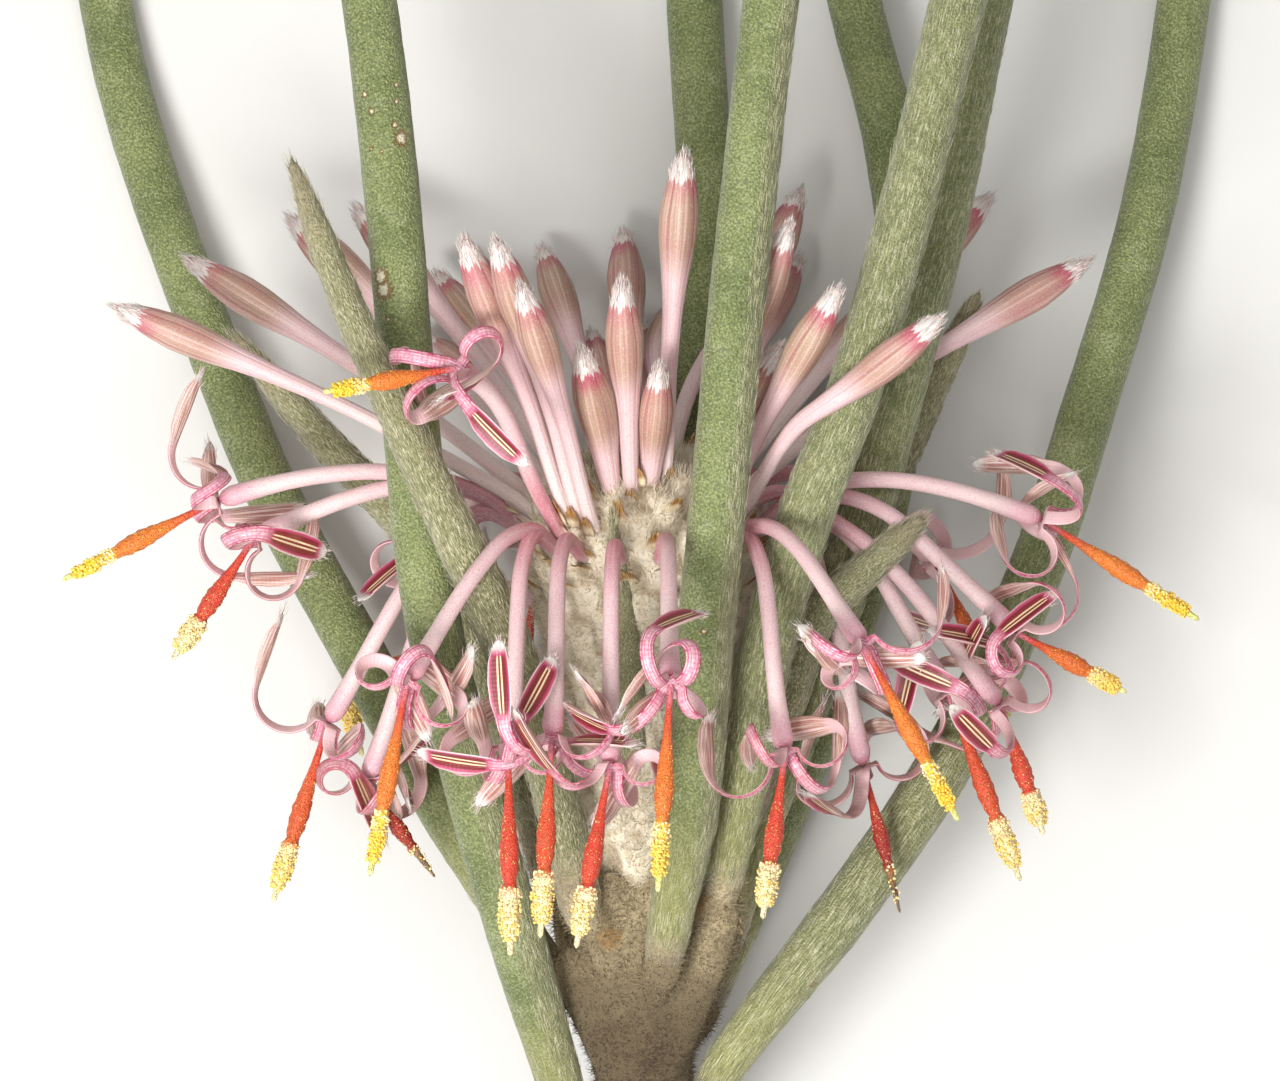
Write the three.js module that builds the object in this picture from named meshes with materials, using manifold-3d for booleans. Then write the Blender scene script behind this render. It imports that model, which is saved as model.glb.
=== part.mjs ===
// Flower head of a rough-leaved cone flower (Isopogon scabriusculus) on a short cut stem, laid on
// its back. Millimetres. +X is across, +Y runs from the cut end of the stem past the head to the
// leaf tips, and +Z is up from the surface that it lies on. The head leans up from the surface, so
// whoever looks straight down sees it from a little above its middle.
import * as THREE from "three";
import { mergeVertices } from "three/addons/utils/BufferGeometryUtils.js";
import Module from "manifold-3d";

// Driving dimensions of the head.
const HEAD_TILT = THREE.MathUtils.degToRad(15);
const AXIS_HEIGHT = 10.3;
const CONE_PROFILE = [
  [0, -11.0], [1.9, -11.0], [2.3, -9.6], [2.2, -7.0], [2.55, -4.2],
  [3.15, -1.8], [3.4, 0.2], [3.1, 1.3], [2.0, 2.3], [0, 2.75],
];
const CONE_SIDES = 12;

// Stem, from its cut end to the foot of the cone.
const STEM_LINE = [
  [0.3, -27.0, 1.22], [0.25, -22.0, 3.35], [0.15, -16.5, 5.75], [0.0, -10.914, 7.375],
];
const STEM_RADII = [1.35, 1.32, 1.38, 1.95];
const STEM_SIDES = 12;
const STEM_STEPS = 8;

// Leaves. Each line runs from the foot of the leaf to its tip.
const LEAF_SIDES = 8;
const LEAF_STEPS = 15;
const LEAF_RADIUS = 0.84;
const LEAF_FOOT_RADIUS = 0.62;
const TIP_RADIUS = 0.1;
const LONG_LEAVES = {
  leaf_far_left: [
    [-2.3, -13.6, 6.5], [-3.5, -12.1, 6.2], [-6.0, -8.1, 4.8], [-8.7, -3.3, 3.5],
    [-11.3, 1.5, 2.5], [-13.5, 6.9, 1.7], [-15.7, 13.2, 0.95], [-16.4, 16.2, 0.75],
    [-17.2, 22.5, 0.72], [-17.7, 28.5, 0.72], [-18.2, 33.5, 0.85],
  ],
  leaf_left: [
    [-1.75, -18.9, 5.7], [-2.5, -16.2, 7.4], [-3.2, -13.8, 9.0], [-4.9, -7.8, 12.2],
    [-6.3, -1.8, 13.4], [-6.9, 4.2, 13.5], [-7.4, 10.2, 13.6], [-8.1, 16.2, 13.6],
    [-9.3, 22.5, 13.2], [-10.8, 28.5, 12.4], [-12.6, 34.2, 11.4],
  ],
  leaf_front: [
    [0.65, -13.0, 9.35], [1.0, -11.0, 10.6], [1.55, -7.8, 12.6], [2.05, -1.8, 14.9],
    [2.6, 4.2, 16.3], [3.2, 10.2, 17.3], [3.9, 16.2, 18.0], [4.8, 22.5, 18.4],
    [5.9, 28.5, 18.4], [7.2, 34.6, 18.0],
  ],
  leaf_right: [
    [2.35, -10.9, 8.9], [3.0, -7.6, 10.9], [3.7, -3.6, 12.5], [4.9, 0.6, 13.6],
    [6.5, 4.8, 14.4], [8.0, 10.2, 15.0], [9.5, 16.2, 15.2], [11.2, 22.5, 15.0],
    [13.0, 28.0, 14.5],
  ],
  leaf_right_back: [
    [2.5, -12.4, 6.0], [3.5, -8.6, 7.0], [5.1, -4.4, 7.6], [6.5, 0.0, 8.2],
    [7.7, 4.2, 8.8], [9.2, 10.2, 9.6], [10.4, 16.2, 10.0], [11.8, 22.0, 10.0],
    [13.4, 27.0, 9.6],
  ],
  leaf_back: [
    [0.7, -13.3, 3.9], [1.0, -9.5, 4.0], [1.5, -3.0, 4.6], [1.9, 4.0, 4.2],
    [2.0, 10.2, 2.7], [1.7, 16.2, 1.4], [1.3, 22.5, 0.72], [0.6, 29.5, 0.72],
    [-0.2, 34.0, 0.85],
  ],
  leaf_back_right: [
    [1.75, -14.6, 4.3], [3.4, -10.6, 3.0], [5.6, -5.0, 2.5], [7.4, 1.0, 2.2],
    [8.2, 7.0, 2.0], [7.7, 12.3, 1.7], [6.7, 16.2, 1.5], [5.3, 22.5, 1.3],
    [4.0, 28.0, 1.3],
  ],
  leaf_far_right: [
    [1.75, -17.5, 6.4], [2.6, -15.9, 7.2], [6.3, -11.1, 7.4], [9.75, -6.0, 6.3],
    [12.2, -0.6, 4.8], [13.8, 4.2, 3.5], [15.6, 10.2, 2.0], [16.7, 16.2, 1.0],
    [17.3, 22.5, 0.72], [17.4, 28.5, 0.72], [17.0, 33.0, 0.85],
  ],
};
const YOUNG_STEPS = 10;
const YOUNG_LEAVES = {
  young_leaf_left: [
    [-1.7, -11.3, 10.0], [-2.7, -7.0, 11.8], [-4.0, -3.0, 13.3], [-5.7, 0.6, 14.9],
    [-7.4, 4.2, 15.75], [-9.15, 8.1, 15.6], [-10.4, 11.4, 15.2],
  ],
  young_leaf_left_back: [
    [-2.6, -10.4, 7.5], [-3.5, -7.0, 7.5], [-4.9, -3.0, 7.6], [-7.2, 0.6, 7.5],
    [-9.0, 2.4, 7.3], [-12.45, 6.3, 7.0],
  ],
  young_leaf_right: [
    [3.1, -8.2, 8.6], [4.2, -5.0, 9.4], [5.3, -2.3, 9.9], [6.9, -0.8, 10.3],
    [8.55, 0.7, 10.5],
  ],
  young_leaf_right_back: [
    [2.4, -10.4, 4.9], [4.2, -5.8, 4.9], [6.2, -1.0, 5.0], [7.6, 1.8, 5.4],
    [9.0, 4.8, 5.6], [10.35, 7.6, 5.8],
  ],
};
const YOUNG_FOOT_RADIUS = 0.7;
const YOUNG_MIDDLE_RADIUS = 0.78;
const YOUNG_TIP_RADIUS = 0.15;

// Buds. Each tip is given as it is seen from above: across, along, length of the bud, and whether
// it leans up towards the viewer (1) or down to the surface (-1).
const BUD_TIPS = [
  [-15.7, 7.0, 13.0, -1], [-13.7, 8.5, 13.0, -1], [-10.7, 9.85, 12.5, -1], [-8.7, 10.2, 12.2, -1],
  [-6.25, 8.2, 10.5, -1], [-5.2, 8.9, 10.2, 1], [-4.25, 8.85, 10.4, 1], [-3.5, 7.5, 9.5, 1],
  [-0.5, 9.5, 10.0, -1], [-0.55, 7.7, 7.6, 1], [-1.75, 5.7, 5.6, 1], [-1.5, 6.4, 7.0, -1],
  [1.3, 11.5, 10.6, 1], [1.9, 8.1, 9.0, -1], [0.6, 5.2, 4.6, 1], [4.4, 9.4, 9.6, 1],
  [4.9, 10.7, 11.0, -1], [4.9, 8.7, 10.2, -1], [5.9, 7.5, 8.6, 1], [4.2, 5.8, 5.6, 1],
  [10.7, 10.5, 13.2, -1], [13.6, 8.5, 13.4, -1], [8.9, 6.6, 10.2, 1], [8.2, 7.8, 10.6, -1],
  [-3.0, 9.0, 11.5, -1], [2.9, 9.6, 11.8, -1], [-6.6, 6.2, 11.8, -1], [5.6, 5.4, 11.8, -1],
  [0.2, 6.6, 11.4, -1], [-1.6, 4.6, 11.4, -1],
];
const BUD_SIDES = 4;
const BUD_LINE_STEPS = 10;
// Distance back from the tip, and radius there. The slim tube makes up the rest.
const BUD_CLUB = [[3.8, 0.33], [2.2, 0.58], [0.85, 0.5], [0, 0.16]];
const BUD_CLUB_SHARE = 0.8;
const BUD_TUBE_STOPS = [0, 0.5];
const BUD_RISE_AT = 0.4;
const BUD_RISE = 0.03;
const BUD_LOWEST_TIP = 0.9;

// The slim bract that stands against the front of the cone, and two blunt ones at its foot.
const BRACTS = [
  [[-0.2, -6.6, 10.6], [-0.3, -4.4, 11.9], [-0.6, -1.6, 13.2], [-0.85, 0.9, 14.3]],
  [[-1.4, -10.1, 7.9], [-2.3, -9.2, 8.5], [-2.95, -8.1, 9.1]],
  [[0.9, -10.6, 8.9], [1.9, -9.6, 9.7], [2.5, -8.3, 10.3]],
];
const BRACT_RADII = [0.5, 0.46, 0.4, 0.14];
const BRACT_SIDES = 5;

// Opened flowers. Each is given as it is seen from above: the middle of the curled tepals, then
// the end of the brush, and the side as for the buds.
const OPEN_FLOWERS = [
  [-5.4, 5.1, -8.75, 4.55, 1], [-12.75, 1.2, -16.5, -1.2, 1], [-11.6, 0.1, -13.2, -3.6, -1],
  [-9.45, -5.55, -10.2, -10.95, 1], [-6.9, -4.2, -7.4, -9.75, 1], [-8.3, -7.4, -5.3, -10.2, -1],
  [-3.9, -6.2, -3.45, -12.1, 1], [-2.6, -5.9, -2.7, -11.5, 1], [-0.9, -6.7, -1.8, -11.8, 1],
  [0.9, -4.2, 0.45, -10.1, 1], [2.3, -6.9, 3.4, -12.2, 1], [4.3, -6.3, 3.2, -11.0, 1],
  [6.6, -3.1, 8.85, -8.1, 1], [9.3, -4.6, 10.6, -10.3, 1], [12.15, 0.6, 15.95, -2.4, 1],
  [11.4, -2.8, 13.8, -4.6, -1], [10.9, -5.0, 11.3, -8.9, -1], [7.0, -7.2, 7.2, -11.6, -1],
  [-7.9, -2.2, -8.8, -7.4, -1], [-3.2, -1.3, -3.6, -6.5, -1], [4.3, -1.3, 4.7, -6.5, -1],
  [8.6, -0.6, 10.2, -5.6, -1],
];
const FLOWER_REACH = 7.6;
const FLOWER_SIDES = 4;

// The tube leaves the cone outwards and upwards, arches over and arrives at the mouth drooping.
const TUBE_RADIUS = 0.3;
const TUBE_STEPS = 6;
const TUBE_LEAVES_OUT = 2.2;
const TUBE_LEAVES_UP = 2.6;
const TUBE_ARRIVES = 3.2;
const TUBE_DROOP = 0.45;

// The style: shares of its length with the radius there, and how far its end stands off the cone.
const STYLE_SHAPE = [[0.18, 0.3], [0.45, 0.42], [0.7, 0.4], [1, 0.28]];
const STYLE_ROOM = 0.42;
const STYLE_LIFT = 0.9;
const LOWEST_STYLE_TIP = 0.5;

// A tepal: a narrow strap that curls out and back, drifting sideways past the tube, and then the
// broad straight end that holds the anther. Its section has three sides, one of them inside the curl.
const TEPALS = 4;
const TEPAL_SIDES = 3;
const TEPAL_START = 0.42;
const TEPAL_SPREAD = 0.5;
const TEPAL_THICK = 0.36;
const STRAP_WIDTH = 0.46;
const STRAP_LENGTH = 3.1;
const STRAP_STEPS = 4;
const UNDERSIDE_STRAP_STEPS = 3;
const CURL_TURNS = [95, 325].map(THREE.MathUtils.degToRad);
const CURL_RADII = [0.52, 0.95];
const CURL_DRIFT = 0.75;
const LIMB_WIDTH = 0.72;
const LIMB_LENGTH = 2.3;

// Width and height of a three-sided section with corners at a distance of 1.
const SECTION_WIDTH = Math.sqrt(3);
const SECTION_HEIGHT = 1.5;

// Room that the florets leave round each leaf and over the surface.
const GAP = 0.32;
const CURL_ROOM = 1.9;
const TEPAL_ROOM = 0.62;
const UNDERSIDE_ROOM = 2.35;
const LOWEST_TEPAL = 0.3;
const BEND_ROUNDS = 12;
const BEND_SHARE = 0.35;

// Where the florets root. The less one leans out, the higher and nearer the axis its root lies.
const CROWN_ALONG = 2.2;
const CROWN_RADIUS = 0.4;
const ROOT_SPREAD = 3.2;
const FULL_LEAN = 9;
const BUD_LOWEST_ROOT = 0.9;
const FLOWER_LOWEST_ROOT = 0.3;
const BUD_FOLLOW = 0;
const FLOWER_FOLLOW = 0.65;
const MOST_SIDEWAYS = 0.72;
const ROOT_SINK = 0.8;
const LEAN_RANGE = [0.01, 12];
const HALVINGS = 30;

const SLIVER = 0.08;
const WELD = 1e-4;
const DRAW_SEED = 7;
const SLAB = { across: 100, along: 200, deep: 20 };
const GRID = 0.01;
const UP = new THREE.Vector3(0, 0, 1);

const wasm = await Module();
wasm.setup();

// Mulberry32, so that every draw comes out the same.
function seededDraw(seed) {
  let state = seed;
  return () => {
    state = (state + 0x6d2b79f5) | 0;
    let t = Math.imul(state ^ (state >>> 15), 1 | state);
    t = (t + Math.imul(t ^ (t >>> 7), 61 | t)) ^ t;
    return ((t ^ (t >>> 14)) >>> 0) / 4294967296;
  };
}

const vector = ([x, y, z]) => new THREE.Vector3(x, y, z);

// A point given across the head, along its axis and out towards the viewer.
function headPoint(across, along, out) {
  const cos = Math.cos(HEAD_TILT);
  const sin = Math.sin(HEAD_TILT);
  return new THREE.Vector3(across, along * cos - out * sin, AXIS_HEIGHT + along * sin + out * cos);
}

const AXIS = headPoint(0, 1, 0).sub(headPoint(0, 0, 0));
const OUT = headPoint(0, 0, 1).sub(headPoint(0, 0, 0));

function solidOf(geometry) {
  const bare = geometry.clone();
  bare.deleteAttribute("normal");
  bare.deleteAttribute("uv");
  const merged = mergeVertices(bare, WELD);
  return new wasm.Manifold(
    new wasm.Mesh({
      numProp: 3,
      vertProperties: merged.attributes.position.array,
      triVerts: new Uint32Array(merged.index.array),
    }),
  );
}

// Closes the slivers that joining leaves and keeps the main body.
function tidied(solid) {
  return largestBody(largestBody(solid).simplify(SLIVER));
}

function geometryOf(solid) {
  const mesh = solid.getMesh();
  const geometry = new THREE.BufferGeometry();
  geometry.setAttribute("position", new THREE.BufferAttribute(new Float32Array(mesh.vertProperties), 3));
  geometry.setIndex(new THREE.BufferAttribute(new Uint32Array(mesh.triVerts), 1));
  geometry.computeVertexNormals();
  return geometry;
}

// Bends a unit cylinder that stands along Y onto a row of stations. Each station has its
// place and the two directions, with their lengths, that the shape's X and Z become.
function loft(geometry, stations) {
  const position = geometry.attributes.position;
  for (let i = 0; i < position.count; i++) {
    const station = stations[Math.round((position.getY(i) + 0.5) * (stations.length - 1))];
    const p = station.at
      .clone()
      .addScaledVector(station.across, position.getX(i))
      .addScaledVector(station.through, position.getZ(i));
    position.setXYZ(i, p.x, p.y, p.z);
  }
  return geometry;
}

// Stations of a round shape along a row of points, with one radius for each point.
function roundStations(points, radii) {
  const stations = [];
  let across = new THREE.Vector3(1, 0, 0);
  points.forEach((at, i) => {
    const before = points[Math.max(i - 1, 0)];
    const after = points[Math.min(i + 1, points.length - 1)];
    const along = after.clone().sub(before).normalize();
    across = across.clone().addScaledVector(along, -across.dot(along)).normalize();
    const through = across.clone().cross(along);
    stations.push({
      at,
      across: across.clone().multiplyScalar(radii[i]),
      through: through.multiplyScalar(radii[i]),
    });
  });
  return stations;
}

function roundShape(points, radii, sides) {
  const cylinder = new THREE.CylinderGeometry(1, 1, 1, sides, points.length - 1);
  return loft(cylinder, roundStations(points, radii));
}

function mixedValue(stops, t) {
  const next = Math.max(1, stops.findIndex(([at]) => at >= t));
  const [t0, a] = stops[next - 1];
  const [t1, b] = stops[next];
  return a + ((b - a) * (t - t0)) / (t1 - t0);
}

function curvePoints(controls, steps) {
  return new THREE.CatmullRomCurve3(controls.map(vector), false, "centripetal").getSpacedPoints(steps);
}

function longLeafRadius(t) {
  return mixedValue(
    [[0, LEAF_FOOT_RADIUS], [0.13, LEAF_RADIUS], [0.9, LEAF_RADIUS], [1, TIP_RADIUS]], t);
}

function youngLeafRadius(t) {
  return mixedValue(
    [[0, YOUNG_FOOT_RADIUS], [0.45, YOUNG_MIDDLE_RADIUS], [1, YOUNG_TIP_RADIUS]], t);
}

// Line and radii of every leaf, by name.
function leafLines() {
  const lines = {};
  for (const [name, controls] of Object.entries(LONG_LEAVES)) {
    const points = curvePoints(controls, LEAF_STEPS);
    lines[name] = { points, radii: points.map((_, i) => longLeafRadius(i / LEAF_STEPS)) };
  }
  for (const [name, controls] of Object.entries(YOUNG_LEAVES)) {
    const points = curvePoints(controls, YOUNG_STEPS);
    lines[name] = { points, radii: points.map((_, i) => youngLeafRadius(i / YOUNG_STEPS)) };
  }
  return lines;
}

const LEAF_LINES = leafLines();

// Moves a point out of every leaf until it is the leaf's radius and the margin away.
function clearOfLeaves(point, margin) {
  const near = new THREE.Vector3();
  for (const { points, radii } of Object.values(LEAF_LINES)) {
    for (let i = 0; i + 1 < points.length; i++) {
      const line = new THREE.Line3(points[i], points[i + 1]);
      const t = line.closestPointToPointParameter(point, true);
      line.at(t, near);
      const room = radii[i] + (radii[i + 1] - radii[i]) * t + margin;
      const off = point.clone().sub(near);
      if (off.length() < room) point.copy(near).addScaledVector(off.normalize(), room);
    }
  }
  return point;
}

// Bends a line of points clear of the leaves. Each point's move is shared with its neighbours, so
// that the line keeps its own arch. The first points stay.
function bentClear(points, margin, kept = 2) {
  const rest = points.map((point) => point.clone());
  for (let round = 0; round < BEND_ROUNDS; round++) {
    const moves = points.map((point, i) => point.clone().sub(rest[i]));
    for (let i = kept; i + 1 < points.length; i++) {
      const shared = moves[i - 1].clone().add(moves[i + 1]).multiplyScalar(0.5);
      points[i].copy(rest[i]).add(moves[i].lerp(shared, BEND_SHARE));
    }
    for (let i = kept; i < points.length; i++) clearOfLeaves(points[i], margin);
  }
  return points;
}

function coneRadius(along) {
  const flank = CONE_PROFILE.slice(1, -1);
  const next = Math.max(1, flank.findIndex(([, v]) => v >= along));
  const [r0, v0] = flank[next - 1];
  const [r1, v1] = flank[next];
  return r0 + ((r1 - r0) * (along - v0)) / (v1 - v0);
}

// Where a floret with its end that far across and out leaves the cone. It roots on the side that
// it leans to, or further sideways when it follows its end across.
function rootOf(across, out, lowest, follow) {
  const far = Math.hypot(across, out);
  const share = Math.min(1, far / FULL_LEAN);
  const along = CROWN_ALONG + (lowest - CROWN_ALONG) * share * share;
  const radius = Math.min(coneRadius(along), CROWN_RADIUS + ROOT_SPREAD * share);
  const followed = Math.min((Math.abs(across) * follow) / radius, MOST_SIDEWAYS);
  const sideways = Math.max(Math.abs(across) / far, followed);
  const forwards = Math.sqrt(1 - sideways * sideways);
  return headPoint(Math.sign(across) * sideways * radius, along, Math.sign(out) * forwards * radius);
}

// Finds how far out a floret's end lies, from where it is seen and how long the floret is.
function endOf(x, y, length, side, lowest, follow) {
  let [near, far] = LEAN_RANGE;
  let found = null;
  for (let i = 0; i < HALVINGS; i++) {
    const out = (side * (near + far)) / 2;
    const along = (y + out * Math.sin(HEAD_TILT)) / Math.cos(HEAD_TILT);
    found = { end: headPoint(x, along, out), root: rootOf(x, out, lowest, follow) };
    if (found.end.distanceTo(found.root) > length) far = Math.abs(out);
    else near = Math.abs(out);
  }
  return found;
}

// The direction from the head's axis out to a point.
function outwards(point) {
  const from = point.clone().sub(headPoint(0, 0, 0));
  return from.addScaledVector(AXIS, -from.dot(AXIS)).normalize();
}

function makeBud([x, y, length, side]) {
  const { end, root } = endOf(x, y, length, side, BUD_LOWEST_ROOT, BUD_FOLLOW);
  end.z = Math.max(end.z, BUD_LOWEST_TIP);
  const inwards = outwards(root).negate();
  const sunk = root.clone().addScaledVector(inwards, ROOT_SINK).addScaledVector(AXIS, -ROOT_SINK);
  const rise = root.clone().lerp(end, BUD_RISE_AT).addScaledVector(AXIS, length * BUD_RISE);
  const curve = new THREE.CatmullRomCurve3([sunk, root, rise, end], false, "centripetal");
  const line = bentClear(curve.getSpacedPoints(BUD_LINE_STEPS), TUBE_RADIUS + GAP);
  const bent = new THREE.CatmullRomCurve3(line, false, "centripetal");
  const clubShare = Math.min(1, (length * BUD_CLUB_SHARE) / BUD_CLUB[0][0]);
  const club = BUD_CLUB.map(([back, r]) => {
    return { at: bent.getPointAt(1 - (back * clubShare) / bent.getLength()), r };
  });
  club.forEach(({ at, r }) => clearOfLeaves(at, r + GAP));
  const tubeShare = 1 - (BUD_CLUB[0][0] * clubShare) / bent.getLength();
  const tube = BUD_TUBE_STOPS.map((t) => ({ at: bent.getPointAt(t * tubeShare), r: TUBE_RADIUS }));
  const stations = [...tube, ...club];
  return roundShape(stations.map(({ at }) => at), stations.map(({ r }) => r), BUD_SIDES);
}

// One tepal on the side of the mouth that outward points to.
function makeTepal(mouth, forward, outward, draw, steps) {
  const width = outward.clone().cross(forward).normalize();
  const turn = THREE.MathUtils.lerp(...CURL_TURNS, draw());
  const radius = THREE.MathUtils.clamp(STRAP_LENGTH / turn, ...CURL_RADII);
  const drift = draw() < 0.5 ? -CURL_DRIFT : CURL_DRIFT;
  const middle = mouth.clone().addScaledVector(outward, TEPAL_START + radius);
  const station = (at, spoke, wide) => {
    clearOfLeaves(at, TEPAL_ROOM);
    at.z = Math.max(at.z, LOWEST_TEPAL);
    const across = width.clone().multiplyScalar(wide / SECTION_WIDTH);
    return { at, across, through: spoke.clone().multiplyScalar(TEPAL_THICK / SECTION_HEIGHT) };
  };
  const stations = [];
  let spoke;
  for (let i = 0; i <= steps; i++) {
    const angle = Math.PI - (turn * i) / steps;
    spoke = outward.clone().multiplyScalar(Math.cos(angle)).addScaledVector(forward, Math.sin(angle));
    const at = middle.clone().addScaledVector(spoke, radius).addScaledVector(width, (drift * i) / steps);
    stations.push(station(at, spoke, STRAP_WIDTH));
  }
  const ahead = spoke.clone().cross(width).normalize().addScaledVector(width, drift / STRAP_LENGTH);
  const tip = stations.at(-1).at.clone().addScaledVector(ahead, LIMB_LENGTH);
  stations.push(station(tip, spoke, LIMB_WIDTH));
  return loft(new THREE.CylinderGeometry(1, 1, 1, TEPAL_SIDES, steps + 1), stations);
}

function makeOpenFlower([x, y, tipX, tipY, side], draw) {
  const { end: mouth, root } =
    endOf(x, y, FLOWER_REACH, side, FLOWER_LOWEST_ROOT, FLOWER_FOLLOW);
  mouth.z = Math.max(mouth.z, UNDERSIDE_ROOM);
  clearOfLeaves(mouth, CURL_ROOM);
  clearOfLeaves(mouth, CURL_ROOM);
  mouth.z = Math.max(mouth.z, UNDERSIDE_ROOM);
  const out = outwards(root);
  const chord = mouth.clone().sub(root).normalize();
  const forward = chord.addScaledVector(AXIS, -TUBE_DROOP).normalize();
  const curve = new THREE.CubicBezierCurve3(
    root,
    root.clone().addScaledVector(out, TUBE_LEAVES_OUT).addScaledVector(AXIS, TUBE_LEAVES_UP),
    mouth.clone().addScaledVector(forward, -TUBE_ARRIVES),
    mouth,
  );
  const sunk = root.clone().addScaledVector(out, -ROOT_SINK);
  const tube = [sunk, ...bentClear(curve.getSpacedPoints(TUBE_STEPS), TUBE_RADIUS + GAP, 1)];
  const reach = new THREE.Vector3(tipX - x, tipY - y, 0);
  const tip = mouth.clone().add(reach).addScaledVector(outwards(mouth), STYLE_LIFT);
  tip.z = Math.max(tip.z, LOWEST_STYLE_TIP);
  const style = STYLE_SHAPE.map(([t]) => mouth.clone().lerp(tip, t));
  style.forEach((p) => clearOfLeaves(p, STYLE_ROOM + GAP));
  const radii = [...tube.map(() => TUBE_RADIUS), ...STYLE_SHAPE.map(([, r]) => r)];
  const pieces = [roundShape([...tube, ...style], radii, FLOWER_SIDES)];

  const firstAcross = new THREE.Vector3().crossVectors(forward, UP).normalize();
  const secondAcross = forward.clone().cross(firstAcross);
  const start = draw() * Math.PI;
  const steps = side > 0 ? STRAP_STEPS : UNDERSIDE_STRAP_STEPS;
  for (let i = 0; i < TEPALS; i++) {
    const angle = start + (i * 2 * Math.PI) / TEPALS + (draw() - 0.5) * TEPAL_SPREAD;
    const outward = firstAcross
      .clone()
      .multiplyScalar(Math.cos(angle))
      .addScaledVector(secondAcross, Math.sin(angle));
    pieces.push(makeTepal(mouth, forward, outward, draw, steps));
  }
  return pieces;
}

function makeBract(points) {
  const radii = [...BRACT_RADII.slice(0, points.length - 1), BRACT_RADII.at(-1)];
  return roundShape(points.map(vector), radii, BRACT_SIDES);
}

function makeCone() {
  const profile = CONE_PROFILE.map(([r, v]) => new THREE.Vector2(r, v));
  const lathe = new THREE.LatheGeometry(profile, CONE_SIDES);
  const basis = new THREE.Matrix4().makeBasis(new THREE.Vector3(1, 0, 0), AXIS, OUT);
  lathe.applyMatrix4(basis.setPosition(headPoint(0, 0, 0)));
  return lathe;
}

// Everything below the surface that the flower lies on, to cut the flat resting spots.
function belowSurface() {
  const slab = new THREE.BoxGeometry(SLAB.across, SLAB.along, SLAB.deep);
  slab.translate(0, 0, -SLAB.deep / 2);
  return solidOf(slab);
}

function largestBody(solid) {
  return solid.decompose().sort((a, b) => b.volume() - a.volume())[0];
}

function makeLeafSolid(name, extra = 0) {
  const { points, radii } = LEAF_LINES[name];
  return solidOf(roundShape(points, radii.map((r) => r + extra), LEAF_SIDES));
}

// The cone with all its buds and opened flowers, cut back where it still comes too near a leaf.
function makeFlowerHead() {
  const draw = seededDraw(DRAW_SEED);
  const pieces = [
    makeCone(),
    ...BRACTS.map(makeBract),
    ...BUD_TIPS.map(makeBud),
    ...OPEN_FLOWERS.flatMap((flower) => makeOpenFlower(flower, draw)),
  ];
  let head = wasm.Manifold.union(pieces.map((piece) => solidOf(piece)));
  for (const name of Object.keys(LEAF_LINES)) head = head.subtract(makeLeafSolid(name, GAP));
  return tidied(head.subtract(belowSurface()));
}

function makeStem() {
  const points = curvePoints(STEM_LINE, STEM_STEPS);
  const radii = points.map((_, i) => {
    const at = (i / STEM_STEPS) * (STEM_RADII.length - 1);
    const low = Math.min(Math.floor(at), STEM_RADII.length - 2);
    return THREE.MathUtils.lerp(STEM_RADII[low], STEM_RADII[low + 1], at - low);
  });
  return solidOf(roundShape(points, radii, STEM_SIDES));
}

const leafMaterial = new THREE.MeshStandardMaterial({
  color: 0x8a9c68, roughness: 0.75, metalness: 0,
});
const youngLeafMaterial = new THREE.MeshStandardMaterial({
  color: 0x9a9a78, roughness: 0.85, metalness: 0,
});
const feltMaterial = new THREE.MeshStandardMaterial({
  color: 0xa3947c, roughness: 0.95, metalness: 0,
});
const petalMaterial = new THREE.MeshStandardMaterial({
  color: 0xd08c9e, roughness: 0.55, metalness: 0,
});

function makeMesh(name, solid, material) {
  const mesh = new THREE.Mesh(geometryOf(solid), material);
  mesh.name = name;
  return mesh;
}

const group = new THREE.Group();
const surface = belowSurface();
group.add(makeMesh("stem", makeStem().subtract(surface), feltMaterial));
group.add(makeMesh("flower_head", makeFlowerHead(), petalMaterial));
for (const name of Object.keys(LEAF_LINES)) {
  const material = name in YOUNG_LEAVES ? youngLeafMaterial : leafMaterial;
  group.add(makeMesh(name, makeLeafSolid(name).subtract(surface), material));
}

// The origin is under the middle of the whole flower, on the surface.
const box = new THREE.Box3().setFromObject(group);
const middle = box.getCenter(new THREE.Vector3());
group.position.set(-Math.round(middle.x / GRID) * GRID, -Math.round(middle.y / GRID) * GRID, 0);

export default group;
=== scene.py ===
"""Flower head of a rough-leaved cone flower on a short cut stem, laid on its back."""

import math

import bpy
import numpy as np
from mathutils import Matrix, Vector
from mathutils.geometry import intersect_point_line


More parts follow.
